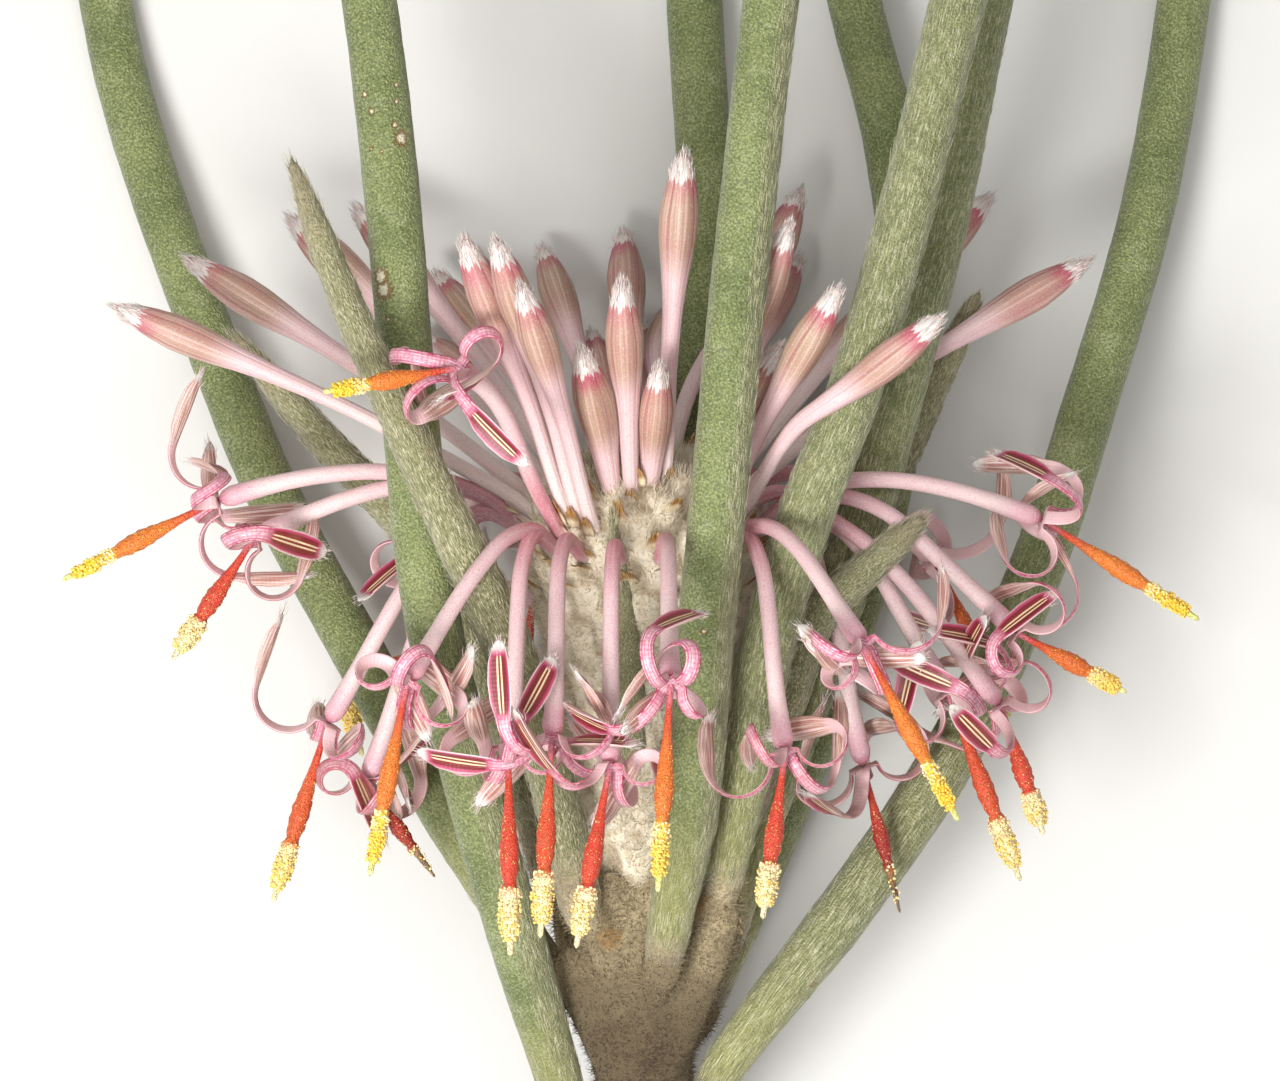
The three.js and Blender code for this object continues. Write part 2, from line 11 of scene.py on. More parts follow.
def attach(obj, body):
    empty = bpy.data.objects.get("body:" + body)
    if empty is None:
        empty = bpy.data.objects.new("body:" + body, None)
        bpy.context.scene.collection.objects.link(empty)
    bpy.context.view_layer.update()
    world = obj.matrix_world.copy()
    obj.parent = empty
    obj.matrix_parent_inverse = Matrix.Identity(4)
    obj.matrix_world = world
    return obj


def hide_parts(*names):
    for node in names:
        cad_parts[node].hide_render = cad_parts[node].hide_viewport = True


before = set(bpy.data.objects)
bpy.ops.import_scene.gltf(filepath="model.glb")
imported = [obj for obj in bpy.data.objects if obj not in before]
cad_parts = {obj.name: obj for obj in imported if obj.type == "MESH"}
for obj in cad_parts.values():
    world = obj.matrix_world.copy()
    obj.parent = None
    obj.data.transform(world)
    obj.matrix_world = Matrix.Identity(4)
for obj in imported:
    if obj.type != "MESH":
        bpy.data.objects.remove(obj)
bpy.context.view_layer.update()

bl_info = {
    "name": "Cone Flower Head",
    "version": (1, 0, 0),
    "blender": (4, 5, 0),
    "location": "View3D > Sidebar > Cone Flower",
    "description": "Dresses a cut cone flower: leaves, felted stem, woolly cone, buds and flowers",
    "category": "Add Mesh",
}

BODY = "root"
MM = 0.001
MERGE_DISTANCE = 0.002 * MM
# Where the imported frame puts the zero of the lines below.
SHIFT = np.array([0.11, -3.55, 0.0]) * MM

# The lines below are in millimetres, across (x), along (y) and up (z), before the whole flower is
# shifted so that its box stands over the origin. They are the same as in the solid model.
HEAD_TILT = math.radians(15)
AXIS_HEIGHT = 10.3
CONE_PROFILE = [
    (0, -11.0), (1.9, -11.0), (2.3, -9.6), (2.2, -7.0), (2.55, -4.2),
    (3.15, -1.8), (3.4, 0.2), (3.1, 1.3), (2.0, 2.3), (0, 2.75),
]
STEM_LINE = [(0.3, -27.0, 1.22), (0.25, -22.0, 3.35), (0.15, -16.5, 5.75), (0.0, -10.914, 7.375)]

LEAF_STEPS = 15
LEAF_RADIUS = 0.84
LEAF_FOOT_RADIUS = 0.62
TIP_RADIUS = 0.1
LONG_LEAVES = {
    "leaf_far_left": [
        (-2.3, -13.6, 6.5), (-3.5, -12.1, 6.2), (-6.0, -8.1, 4.8), (-8.7, -3.3, 3.5),
        (-11.3, 1.5, 2.5), (-13.5, 6.9, 1.7), (-15.7, 13.2, 0.95), (-16.4, 16.2, 0.75),
        (-17.2, 22.5, 0.72), (-17.7, 28.5, 0.72), (-18.2, 33.5, 0.85),
    ],
    "leaf_left": [
        (-1.75, -18.9, 5.7), (-2.5, -16.2, 7.4), (-3.2, -13.8, 9.0), (-4.9, -7.8, 12.2),
        (-6.3, -1.8, 13.4), (-6.9, 4.2, 13.5), (-7.4, 10.2, 13.6), (-8.1, 16.2, 13.6),
        (-9.3, 22.5, 13.2), (-10.8, 28.5, 12.4), (-12.6, 34.2, 11.4),
    ],
    "leaf_front": [
        (0.65, -13.0, 9.35), (1.0, -11.0, 10.6), (1.55, -7.8, 12.6), (2.05, -1.8, 14.9),
        (2.6, 4.2, 16.3), (3.2, 10.2, 17.3), (3.9, 16.2, 18.0), (4.8, 22.5, 18.4),
        (5.9, 28.5, 18.4), (7.2, 34.6, 18.0),
    ],
    "leaf_right": [
        (2.35, -10.9, 8.9), (3.0, -7.6, 10.9), (3.7, -3.6, 12.5), (4.9, 0.6, 13.6),
        (6.5, 4.8, 14.4), (8.0, 10.2, 15.0), (9.5, 16.2, 15.2), (11.2, 22.5, 15.0),
        (13.0, 28.0, 14.5),
    ],
    "leaf_right_back": [
        (2.5, -12.4, 6.0), (3.5, -8.6, 7.0), (5.1, -4.4, 7.6), (6.5, 0.0, 8.2),
        (7.7, 4.2, 8.8), (9.2, 10.2, 9.6), (10.4, 16.2, 10.0), (11.8, 22.0, 10.0),
        (13.4, 27.0, 9.6),
    ],
    "leaf_back": [
        (0.7, -13.3, 3.9), (1.0, -9.5, 4.0), (1.5, -3.0, 4.6), (1.9, 4.0, 4.2),
        (2.0, 10.2, 2.7), (1.7, 16.2, 1.4), (1.3, 22.5, 0.72), (0.6, 29.5, 0.72),
        (-0.2, 34.0, 0.85),
    ],
    "leaf_back_right": [
        (1.75, -14.6, 4.3), (3.4, -10.6, 3.0), (5.6, -5.0, 2.5), (7.4, 1.0, 2.2),
        (8.2, 7.0, 2.0), (7.7, 12.3, 1.7), (6.7, 16.2, 1.5), (5.3, 22.5, 1.3),
        (4.0, 28.0, 1.3),
    ],
    "leaf_far_right": [
        (1.75, -17.5, 6.4), (2.6, -15.9, 7.2), (6.3, -11.1, 7.4), (9.75, -6.0, 6.3),
        (12.2, -0.6, 4.8), (13.8, 4.2, 3.5), (15.6, 10.2, 2.0), (16.7, 16.2, 1.0),
        (17.3, 22.5, 0.72), (17.4, 28.5, 0.72), (17.0, 33.0, 0.85),
    ],
}
YOUNG_STEPS = 10
YOUNG_FOOT_RADIUS = 0.7
YOUNG_MIDDLE_RADIUS = 0.78
YOUNG_TIP_RADIUS = 0.15
YOUNG_LEAVES = {
    "young_leaf_left": [
        (-1.7, -11.3, 10.0), (-2.7, -7.0, 11.8), (-4.0, -3.0, 13.3), (-5.7, 0.6, 14.9),
        (-7.4, 4.2, 15.75), (-9.15, 8.1, 15.6), (-10.4, 11.4, 15.2),
    ],
    "young_leaf_left_back": [
        (-2.6, -10.4, 7.5), (-3.5, -7.0, 7.5), (-4.9, -3.0, 7.6), (-7.2, 0.6, 7.5),
        (-9.0, 2.4, 7.3), (-12.45, 6.3, 7.0),
    ],
    "young_leaf_right": [
        (3.1, -8.2, 8.6), (4.2, -5.0, 9.4), (5.3, -2.3, 9.9), (6.9, -0.8, 10.3), (8.55, 0.7, 10.5),
    ],
    "young_leaf_right_back": [
        (2.4, -10.4, 4.9), (4.2, -5.8, 4.9), (6.2, -1.0, 5.0), (7.6, 1.8, 5.4),
        (9.0, 4.8, 5.6), (10.35, 7.6, 5.8),
    ],
}
# How far up each leaf its silky hairs reach, as a share of its length, how thick they lie, and
# whether they keep to its right-hand side.
SILK = {
    "leaf_far_left": (0.16, 0.55, False), "leaf_left": (0.36, 0.8, True),
    "leaf_front": (1.2, 0.85, True), "leaf_right": (1.2, 0.68, False),
    "leaf_right_back": (1.2, 0.6, False), "leaf_back": (0.3, 0.4, False),
    "leaf_back_right": (0.3, 0.4, False), "leaf_far_right": (0.42, 0.75, False),
}
# Small pits and scars on the leaves' upper sides: across, along and half the width of each.
PITS = {
    "leaf_left": [
        (-8.2, 13.3, 0.085), (-8.0, 12.8, 0.09), (-7.25, 13.6, 0.08), (-7.25, 13.1, 0.08),
        (-7.3, 12.4, 0.1), (-8.0, 11.7, 0.07), (-7.7, 11.6, 0.06), (-7.1, 12.0, 0.22),
        (-7.74, 7.88, 0.24), (-7.66, 7.48, 0.27), (-7.5, 6.6, 0.07),
    ],
    "leaf_front": [(1.9, -2.7, 0.08)],
    "leaf_far_right": [(5.2, -13.4, 0.15)],
}
# Brown scars on the felt: across, along and half the width of each.
FELT_SCARS = [(-0.9, -12.0, 0.4), (1.7, -11.3, 0.16), (1.82, -11.05, 0.17), (1.94, -10.8, 0.16)]
# Felted lobes round the top of the stem: a line from the stem outwards, half the width and half
# the thickness.
LOBES = [
    ([(-0.5, -16.0, 6.6), (-1.3, -14.3, 7.4), (-2.35, -12.3, 8.0)], 0.85, 0.7),
    ([(0.7, -15.4, 7.0), (1.7, -13.0, 7.9), (2.75, -10.6, 8.9)], 0.9, 0.7),
    ([(-0.3, -14.6, 7.3), (-0.65, -12.4, 8.6), (-0.95, -9.9, 9.9)], 0.85, 0.5),
    ([(0.6, -15.0, 5.2), (1.6, -12.8, 4.7), (2.5, -10.6, 4.5)], 0.85, 0.7),
    ([(-0.6, -15.0, 5.2), (-1.6, -12.8, 4.7), (-2.4, -10.8, 4.6)], 0.85, 0.7),
]

# Buds: across and along as seen from above, length, and side (1 leans up, -1 leans down).
BUD_TIPS = [
    (-15.7, 7.0, 13.0, -1), (-13.7, 8.5, 13.0, -1), (-10.7, 9.85, 12.5, -1), (-8.7, 10.2, 12.2, -1),
    (-6.25, 8.2, 10.5, -1), (-5.2, 8.9, 10.2, 1), (-4.25, 8.85, 10.4, 1), (-3.5, 7.5, 9.5, 1),
    (-0.5, 9.5, 10.0, -1), (-0.55, 7.7, 7.6, 1), (-1.75, 5.7, 5.6, 1), (-1.5, 6.4, 7.0, -1),
    (1.3, 11.5, 10.6, 1), (1.9, 8.1, 9.0, -1), (0.6, 5.2, 4.6, 1), (4.4, 9.4, 9.6, 1),
    (4.9, 10.7, 11.0, -1), (4.9, 8.7, 10.2, -1), (5.9, 7.5, 8.6, 1), (4.2, 5.8, 5.6, 1),
    (10.7, 10.5, 13.2, -1), (13.6, 8.5, 13.4, -1), (8.9, 6.6, 10.2, 1), (8.2, 7.8, 10.6, -1),
    (-3.0, 9.0, 11.5, -1), (2.9, 9.6, 11.8, -1), (-6.6, 6.2, 11.8, -1), (5.6, 5.4, 11.8, -1),
    (0.2, 6.6, 11.4, -1), (-1.6, 4.6, 11.4, -1),
]
BUD_LINE_STEPS = 10
BUD_LOWEST_ROOT = 0.9
BUD_LOWEST_TIP = 0.9
BUD_RISE_AT = 0.4
BUD_RISE = 0.03

# Opened flowers: the middle of the curled tepals and the end of the brush, both across and along
# as seen from above, the side, and how far the style has aged (0 fresh, 1 withered).
OPEN_FLOWERS = [
    (-5.4, 5.1, -8.75, 4.55, 1, 0.0), (-12.75, 1.2, -16.5, -1.2, 1, 0.1),
    (-11.6, 0.1, -13.2, -3.6, -1, 0.7), (-9.45, -5.55, -10.2, -10.95, 1, 0.35),
    (-6.9, -4.2, -7.4, -9.75, 1, 0.15), (-8.3, -7.4, -5.3, -10.2, -1, 0.9),
    (-3.9, -6.2, -3.45, -12.1, 1, 0.5), (-2.6, -5.9, -2.7, -11.5, 1, 0.4),
    (-0.9, -6.7, -1.8, -11.8, 1, 0.65),
    (0.9, -4.2, 0.45, -10.1, 1, 0.2), (2.3, -6.9, 3.4, -12.2, 1, 1.0),
    (4.3, -6.3, 3.2, -11.0, 1, 0.7), (6.6, -3.1, 8.85, -8.1, 1, 0.1),
    (9.3, -4.6, 10.6, -10.3, 1, 0.4), (12.15, 0.6, 15.95, -2.4, 1, 0.1),
    (11.4, -2.8, 13.8, -4.6, -1, 0.25), (10.9, -5.0, 11.3, -8.9, -1, 0.6),
    (7.0, -7.2, 7.2, -11.6, -1, 1.0), (-7.9, -2.2, -8.8, -7.4, -1, 0.3),
    (-3.2, -1.3, -3.6, -6.5, -1, 0.5), (4.3, -1.3, 4.7, -6.5, -1, 0.4),
    (8.6, -0.6, 10.2, -5.6, -1, 0.3),
]
FLOWER_REACH = 7.6
FLOWER_LOWEST_ROOT = 0.3
BUD_FOLLOW = 0
FLOWER_FOLLOW = 0.65
MOST_SIDEWAYS = 0.72
TUBE_RADIUS = 0.3
TUBE_STEPS = 6
TUBE_LEAVES_OUT = 2.2
TUBE_LEAVES_UP = 2.6
TUBE_ARRIVES = 3.2
TUBE_DROOP = 0.45
STYLE_SHARES = (0.18, 0.45, 0.7, 1.0)
STYLE_ROOM = 0.42
STYLE_LIFT = 0.9
LOWEST_STYLE_TIP = 0.5
TEPALS = 4
TEPAL_START = 0.42
TEPAL_SPREAD = 0.5
STRAP_LENGTH = 3.1
CURL_TURNS = (math.radians(95), math.radians(325))
CURL_RADII = (0.52, 0.95)
CURL_DRIFT = 0.75
LIMB_LENGTH = 2.3
GAP = 0.32
CURL_ROOM = 1.9
TEPAL_ROOM = 0.62
UNDERSIDE_ROOM = 2.35
LOWEST_TEPAL = 0.3
BEND_ROUNDS = 12
BEND_SHARE = 0.35
CROWN_ALONG = 2.2
CROWN_RADIUS = 0.4
ROOT_SPREAD = 3.2
FULL_LEAN = 9
ROOT_SINK = 0.8
LEAN_RANGE = (0.01, 12.0)
HALVINGS = 30
DRAW_SEED = 7
BRACTS = [
    [(-0.2, -6.6, 10.6), (-0.3, -4.4, 11.9), (-0.6, -1.6, 13.2), (-0.85, 0.9, 14.3)],
    [(-1.4, -10.1, 7.9), (-2.3, -9.2, 8.5), (-2.95, -8.1, 9.1)],
    [(0.9, -10.6, 8.9), (1.9, -9.6, 9.7), (2.5, -8.3, 10.3)],
]
UP = Vector((0, 0, 1))
GOLDEN_ANGLE = math.radians(137.508)
# A stretch of a leaf further off along y than this never reaches a floret's point.
NEAR_ALONG = 6


def head_point(across, along, out):
    """A point given across the head, along its axis and out towards the viewer."""
    cos, sin = math.cos(HEAD_TILT), math.sin(HEAD_TILT)
    return Vector((across, along * cos - out * sin, AXIS_HEIGHT + along * sin + out * cos))


HEAD_ZERO = head_point(0, 0, 0)
AXIS = head_point(0, 1, 0) - HEAD_ZERO
OUT = head_point(0, 0, 1) - HEAD_ZERO


def seeded_draw(seed):
    """The same run of draws as the solid model's, so that the tepals lie where its tepals do."""
    state = seed

    def draw():
        nonlocal state
        state = (state + 0x6D2B79F5) & 0xFFFFFFFF
        t = ((state ^ (state >> 15)) * (1 | state)) & 0xFFFFFFFF
        t = ((t + (((t ^ (t >> 7)) * (61 | t)) & 0xFFFFFFFF)) & 0xFFFFFFFF) ^ t
        return ((t ^ (t >> 14)) & 0xFFFFFFFF) / 4294967296

    return draw


def mixed_value(stops, t):
    """The value at t on a line through (place, value) stops."""
    return float(np.interp(t, [s[0] for s in stops], [s[1] for s in stops]))


def catmull_rom(controls, per_span=24):
    """A dense centripetal Catmull-Rom line through the control points."""
    points = [Vector(c) for c in controls]
    points = [2 * points[0] - points[1], *points, 2 * points[-1] - points[-2]]
    dense = []
    for p0, p1, p2, p3 in zip(points, points[1:], points[2:], points[3:]):
        d0, d1, d2 = (max((b - a).length ** 0.5, 1e-4) for a, b in ((p0, p1), (p1, p2), (p2, p3)))
        m1 = ((p1 - p0) / d0 - (p2 - p0) / (d0 + d1) + (p2 - p1) / d1) * d1
        m2 = ((p2 - p1) / d1 - (p3 - p1) / (d1 + d2) + (p3 - p2) / d2) * d1
        for i in range(per_span):
            t = i / per_span
            dense.append(
                p1 * (2 * t**3 - 3 * t**2 + 1) + m1 * (t**3 - 2 * t**2 + t)
                + p2 * (3 * t**2 - 2 * t**3) + m2 * (t**3 - t**2)
            )
    return [*dense, Vector(controls[-1])]


def spaced(dense, shares):
    """Points on a dense line at these shares of its length."""
    line = np.array([p[:] for p in dense])
    steps = np.linalg.norm(np.diff(line, axis=0), axis=1)
    reach = np.concatenate([[0], np.cumsum(steps)])
    wanted = np.asarray(shares) * reach[-1]
    return np.stack([np.interp(wanted, reach, line[:, k]) for k in range(3)], axis=1)


def even(count):
    return np.linspace(0, 1, count + 1)


def line_length(points):
    return float(np.linalg.norm(np.diff(np.asarray(points), axis=0), axis=1).sum())


def bezier(p0, p1, p2, p3, count=60):
    """A dense cubic curve."""
    return [
        p0 * (1 - t) ** 3 + p1 * (3 * t * (1 - t) ** 2) + p2 * (3 * t**2 * (1 - t)) + p3 * t**3
        for t in even(count)
    ]


def long_leaf_radius(t):
    stops = [(0, LEAF_FOOT_RADIUS), (0.13, LEAF_RADIUS), (0.9, LEAF_RADIUS), (1, TIP_RADIUS)]
    return mixed_value(stops, t)


def young_leaf_radius(t):
    stops = [(0, YOUNG_FOOT_RADIUS), (0.45, YOUNG_MIDDLE_RADIUS), (1, YOUNG_TIP_RADIUS)]
    return mixed_value(stops, t)


def leaf_segments():
    """Straight stretches of every leaf with the radius at both ends, for keeping florets clear."""
    rows = []
    for leaves, steps, radius in (
        (LONG_LEAVES, LEAF_STEPS, long_leaf_radius),
        (YOUNG_LEAVES, YOUNG_STEPS, young_leaf_radius),
    ):
        for controls in leaves.values():
            points = [Vector(p) for p in spaced(catmull_rom(controls), even(steps))]
            radii = [radius(t) for t in even(steps)]
            rows += list(zip(points, points[1:], radii, radii[1:]))
    return rows


LEAF_SEGMENTS = leaf_segments()


def clear_of_leaves(point, margin):
    """The point, moved out of every leaf until it is the leaf's radius and the margin away."""
    point = point.copy()
    for start, end, r0, r1 in LEAF_SEGMENTS:
        if abs(point.y - start.y) > NEAR_ALONG:
            continue
        near, t = intersect_point_line(point, start, end)
        t = min(max(t, 0.0), 1.0)
        near = start.lerp(end, t)
        room = r0 + (r1 - r0) * t + margin
        off = point - near
        if off.length < room:
            point = near + off.normalized() * room
    return point


def bent_clear(points, margin, kept=2):
    """Bends a line of points clear of the leaves. Each point's move is shared with its
    neighbours, so that the line keeps its own arch. The first points stay."""
    points = [Vector(p) for p in points]
    rest = [p.copy() for p in points]
    for _ in range(BEND_ROUNDS):
        moves = [p - q for p, q in zip(points, rest)]
        for i in range(kept, len(points) - 1):
            moves[i] = moves[i].lerp((moves[i - 1] + moves[i + 1]) / 2, BEND_SHARE)
            points[i] = rest[i] + moves[i]
        for i in range(kept, len(points)):
            points[i] = clear_of_leaves(points[i], margin)
    return points


def cone_radius(along):
    flank = CONE_PROFILE[1:-1]
    return float(np.interp(along, [v for _, v in flank], [r for r, _ in flank]))


def root_of(across, out, lowest, follow):
    """Where a floret whose end lies that far across and out leaves the cone. It roots on the side
    that it leans to, or further sideways when it follows its end across."""
    far = math.hypot(across, out)
    share = min(1.0, far / FULL_LEAN)
    along = CROWN_ALONG + (lowest - CROWN_ALONG) * share * share
    radius = min(cone_radius(along), CROWN_RADIUS + ROOT_SPREAD * share)
    followed = min(abs(across) * follow / radius, MOST_SIDEWAYS)
    sideways = max(abs(across) / far, followed)
    forwards = math.copysign(math.sqrt(1 - sideways**2), out)
    return head_point(math.copysign(sideways, across) * radius, along, forwards * radius)


def end_of(x, y, length, side, lowest, follow):
    """How far out a floret's end lies, from where it is seen and how long the floret is."""
    near, far = LEAN_RANGE
    for _ in range(HALVINGS):
        out = side * (near + far) / 2
        along = (y + out * math.sin(HEAD_TILT)) / math.cos(HEAD_TILT)
        end, root = head_point(x, along, out), root_of(x, out, lowest, follow)
        if (end - root).length > length:
            far = abs(out)
        else:
            near = abs(out)
    return end, root


def outwards(point):
    """The direction from the head's axis out to a point."""
    off = point - HEAD_ZERO
    return (off - AXIS * off.dot(AXIS)).normalized()


class Line:
    """Stations along a line in millimetres, with the two directions across it at each."""

    def __init__(self, points, across=None):
        self.at = np.asarray([tuple(p) for p in points], float)
        ahead = np.vstack([self.at[1:], self.at[-1:]])
        behind = np.vstack([self.at[:1], self.at[:-1]])
        self.along = ahead - behind
        self.along /= np.linalg.norm(self.along, axis=1)[:, None]
        self.across = np.zeros_like(self.at)
        side = np.array([1.0, 0, 0]) if across is None else np.asarray(across, float)
        for i, along in enumerate(self.along):
            side = side - along * side.dot(along)
            side /= np.linalg.norm(side)
            self.across[i] = side
        self.through = np.cross(self.across, self.along)

    def skin(self, share, angle, wide, thick=None, cup=0.0):
        """Points on the skin at a share of the length and an angle round the line."""
        thick = wide if thick is None else thick
        place = np.asarray(share) * (len(self.at) - 1)
        low = np.clip(place.astype(int), 0, len(self.at) - 2)
        rest = (place - low)[:, None]

        def between(rows):
            return rows[low] * (1 - rest) + rows[low + 1] * rest

        cos, sin = np.cos(angle), np.sin(angle)
        sideways = between(self.across) * (wide * cos)[:, None]
        upwards = between(self.through) * (thick * sin - cup * cos**2)[:, None]
        return between(self.at) + sideways + upwards

    def directions(self, share, angle):
        """Outward and lengthwise directions on a round skin."""
        low = np.clip(np.round(np.asarray(share) * (len(self.at) - 1)).astype(int), 0, len(self.at) - 1)
        outward = self.across[low] * np.cos(angle)[:, None] + self.through[low] * np.sin(angle)[:, None]
        return outward, self.along[low]


def deselect():
    bpy.ops.object.select_all(action="DESELECT")


def pick(*objects):
    deselect()
    for item in objects:
        item.select_set(True)
    bpy.context.view_layer.objects.active = objects[0]


def in_frame(points):
    """Millimetres before the shift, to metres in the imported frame."""
    return np.asarray(points) * MM + SHIFT


def sheet(name, around, along):
    """A flat sheet from 0 to 1 both ways, to be rolled into one of the flower's skins."""
    deselect()
    bpy.ops.mesh.primitive_grid_add(
        x_subdivisions=around, y_subdivisions=along, size=1, location=(0.5, 0.5, 0)
    )
    bpy.ops.object.transform_apply(location=True, rotation=True, scale=True)
    made = bpy.context.object
    made.name = name
    return made


def another(master):
    """A copy with its own mesh."""
    pick(master)
    bpy.ops.object.duplicate(linked=False)
    return bpy.context.object


def corners(item):
    flat = np.empty(len(item.data.vertices) * 3)
    item.data.vertices.foreach_get("co", flat)
    return flat.reshape(-1, 3)


def sown(item, rng, count):
    """Places spread evenly over a mesh, in millimetres before the shift, with their normals."""
    item.data.calc_loop_triangles()
    faces = np.empty(len(item.data.loop_triangles) * 3, np.int32)
    item.data.loop_triangles.foreach_get("vertices", faces)
    points = (corners(item) - SHIFT) / MM
    a, b, c = (points[faces[k::3]] for k in range(3))
    normals = np.cross(b - a, c - a)
    areas = np.linalg.norm(normals, axis=1)
    chosen = rng.choice(len(areas), count, p=areas / areas.sum())
    u, v = rng.uniform(0, 1, (2, count, 1))
    beyond = u + v > 1
    u, v = np.where(beyond, 1 - u, u), np.where(beyond, 1 - v, v)
    a, b, c = a[chosen], b[chosen], c[chosen]
    return a + (b - a) * u + (c - a) * v, unit(normals[chosen])


def write_values(item, name, values):
    """A number at every corner of the mesh, for the finish to read."""
    layer = item.data.attributes.get(name) or item.data.attributes.new(name, "FLOAT", "POINT")
    layer.data.foreach_set("value", np.broadcast_to(values, len(item.data.vertices)).astype(np.float32))


def roll(item, line, wide, thick=None, cup=0.0, turn=0.0, **values):
    """Rolls a sheet round a line. Wide, thick and cup are functions of the share of the length
    and the angle, and so are the values that the finish reads."""
    flat = corners(item)
    angle = flat[:, 0] * math.tau
    share = flat[:, 1]
    width = wide(share, angle)
    depth = width if thick is None else thick(share, angle)
    dip = cup(share, angle) if callable(cup) else np.full_like(share, cup)
    points = line.skin(share, angle + turn, width, depth, dip)
    points[:, 2] = np.maximum(points[:, 2], 0.0)
    for name, value in values.items():
        write_values(item, name, value(share, angle) if callable(value) else value)
    item.data.vertices.foreach_set("co", in_frame(points).ravel())
    item.data.update()
    return item


def joined(items, name):
    """One piece from many, with its seams and poles closed and its faces turned outwards."""
    pick(*items)
    if len(items) > 1:
        bpy.ops.object.join()
    piece = bpy.context.object
    piece.name = piece.data.name = name
    bpy.ops.object.mode_set(mode="EDIT")
    bpy.ops.mesh.select_all(action="SELECT")
    bpy.ops.mesh.remove_doubles(threshold=MERGE_DISTANCE)
    bpy.ops.mesh.normals_make_consistent(inside=False)
    bpy.ops.object.mode_set(mode="OBJECT")
    bpy.ops.object.shade_smooth()
    return piece


def settle(piece, slot, finish, *nodes):
    """Ties a finished piece to the flower, its finish and the solids that it replaces. The slot
    argument is not used.
    """
    piece.data.materials.clear()
    piece.data.materials.append(finish)
    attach(piece, BODY)
    if nodes:
        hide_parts(*nodes)
    return piece


def scatter(master, name, origins, across, through, along, bows=None, **values):
    """Many small copies of one master in one mesh. Each copy's three axes are given, with their
    lengths in millimetres, and bows push its middle sideways. Copies that would reach below the
    surface are left out."""
    shape = corners(master)
    faces = [list(p.vertices) for p in master.data.polygons]
    bpy.data.objects.remove(master)
    x, y, z = shape[:, 0], shape[:, 1], shape[:, 2]
    points = (
        origins[:, None, :]
        + across[:, None, :] * x[None, :, None]
        + through[:, None, :] * y[None, :, None]
        + along[:, None, :] * z[None, :, None]
    )
    if bows is not None:
        points += bows[:, None, :] * (4 * z * (1 - z))[None, :, None]
    standing = points[:, :, 2].min(axis=1) > 0
    points = points[standing]
    count, size = points.shape[:2]
    all_faces = [[v + size * i for v in face] for i in range(count) for face in faces]
    mesh = bpy.data.meshes.new(name)
    mesh.from_pydata(in_frame(points.reshape(-1, 3)).tolist(), [], all_faces)
    piece = bpy.data.objects.new(name, mesh)
    bpy.context.collection.objects.link(piece)
    write_values(piece, "reach", np.tile(z, count))
    write_values(piece, "side", np.tile(x, count))
    for key, value in values.items():
        write_values(piece, key, np.repeat(np.asarray(value, float)[standing], size))
    pick(piece)
    bpy.ops.object.shade_smooth()
    return piece


def hair_master(bowed):
    """A three-sided spike of height 1, with one joint if it is to be bowed."""
    deselect()
    bpy.ops.mesh.primitive_cone_add(vertices=3, radius1=1, radius2=0, depth=1, location=(0, 0, 0.5))
    bpy.ops.object.transform_apply(location=True, rotation=True, scale=True)
    if bowed:
        bpy.ops.object.mode_set(mode="EDIT")
        bpy.ops.mesh.select_all(action="SELECT")
        bpy.ops.mesh.bisect(plane_co=(0, 0, 0.5), plane_no=(0, 0, 1))
        bpy.ops.object.mode_set(mode="OBJECT")
    return bpy.context.object


def unit(rows):
    return rows / np.maximum(np.linalg.norm(rows, axis=1), 1e-9)[:, None]


def hairs(name, rng, roots, directions, lengths, radius, bow=0.0, **values):
    """Fine hairs that stand on these roots, each bowed a little to its own side."""
    along = unit(directions)
    side = unit(np.cross(along, rng.normal(size=roots.shape)))
    through = np.cross(along, side)
    reach = np.asarray(lengths)[:, None]
    bows = unit(rng.normal(size=roots.shape)) * reach * bow
    return scatter(
        hair_master(bow > 0), name, roots, side * radius, through * radius, along * reach, bows,
        **values,
    )


class Fur:
    """Hairs gathered from many parts, to be grown as one piece."""

    def __init__(self):
        self.roots = []
        self.ways = []
        self.lengths = []

    def add(self, roots, ways, lengths):
        self.roots.append(roots)
        self.ways.append(ways)
        self.lengths.append(lengths)

    def grown(self, name, rng, radius, bow):
        return hairs(name, rng, np.vstack(self.roots), np.vstack(self.ways),
                     np.concatenate(self.lengths), radius, bow)


def combed(rng, outward, along, lift, stray):
    """Directions for hairs that lie along a skin, lifted off it a little and strayed sideways."""
    count = len(along)
    return (along + outward * rng.uniform(*lift, count)[:, None]
            + np.cross(along, outward) * rng.normal(0, stray, count)[:, None])


class Wire:
    """One output among a finish's nodes. Python's own operators on it add Math nodes."""

    def __init__(self, finish, socket):
        self.finish = finish
        self.socket = socket

    def maths(self, operation, *others):
        sockets = dict(enumerate((self, *others)))
        return self.finish.add("ShaderNodeMath", {"operation": operation}, sockets)

    def __add__(self, other):
        return self.maths("ADD", other)

    __radd__ = __add__

    def __sub__(self, other):
        return self.maths("SUBTRACT", other)

    def __rsub__(self, other):
        return self.finish.number(other).maths("SUBTRACT", self)

    def __mul__(self, other):
        return self.maths("MULTIPLY", other)

    __rmul__ = __mul__

    def __truediv__(self, other):
        return self.maths("DIVIDE", other)

    def between(self, low, high):
        """0 below low, 1 above high, and a soft rise in between. Low may be the larger."""
        settings = {"interpolation_type": "SMOOTHSTEP"}
        return self.finish.add(
            "ShaderNodeMapRange", settings, {"Value": self, "From Min": low, "From Max": high}
        )


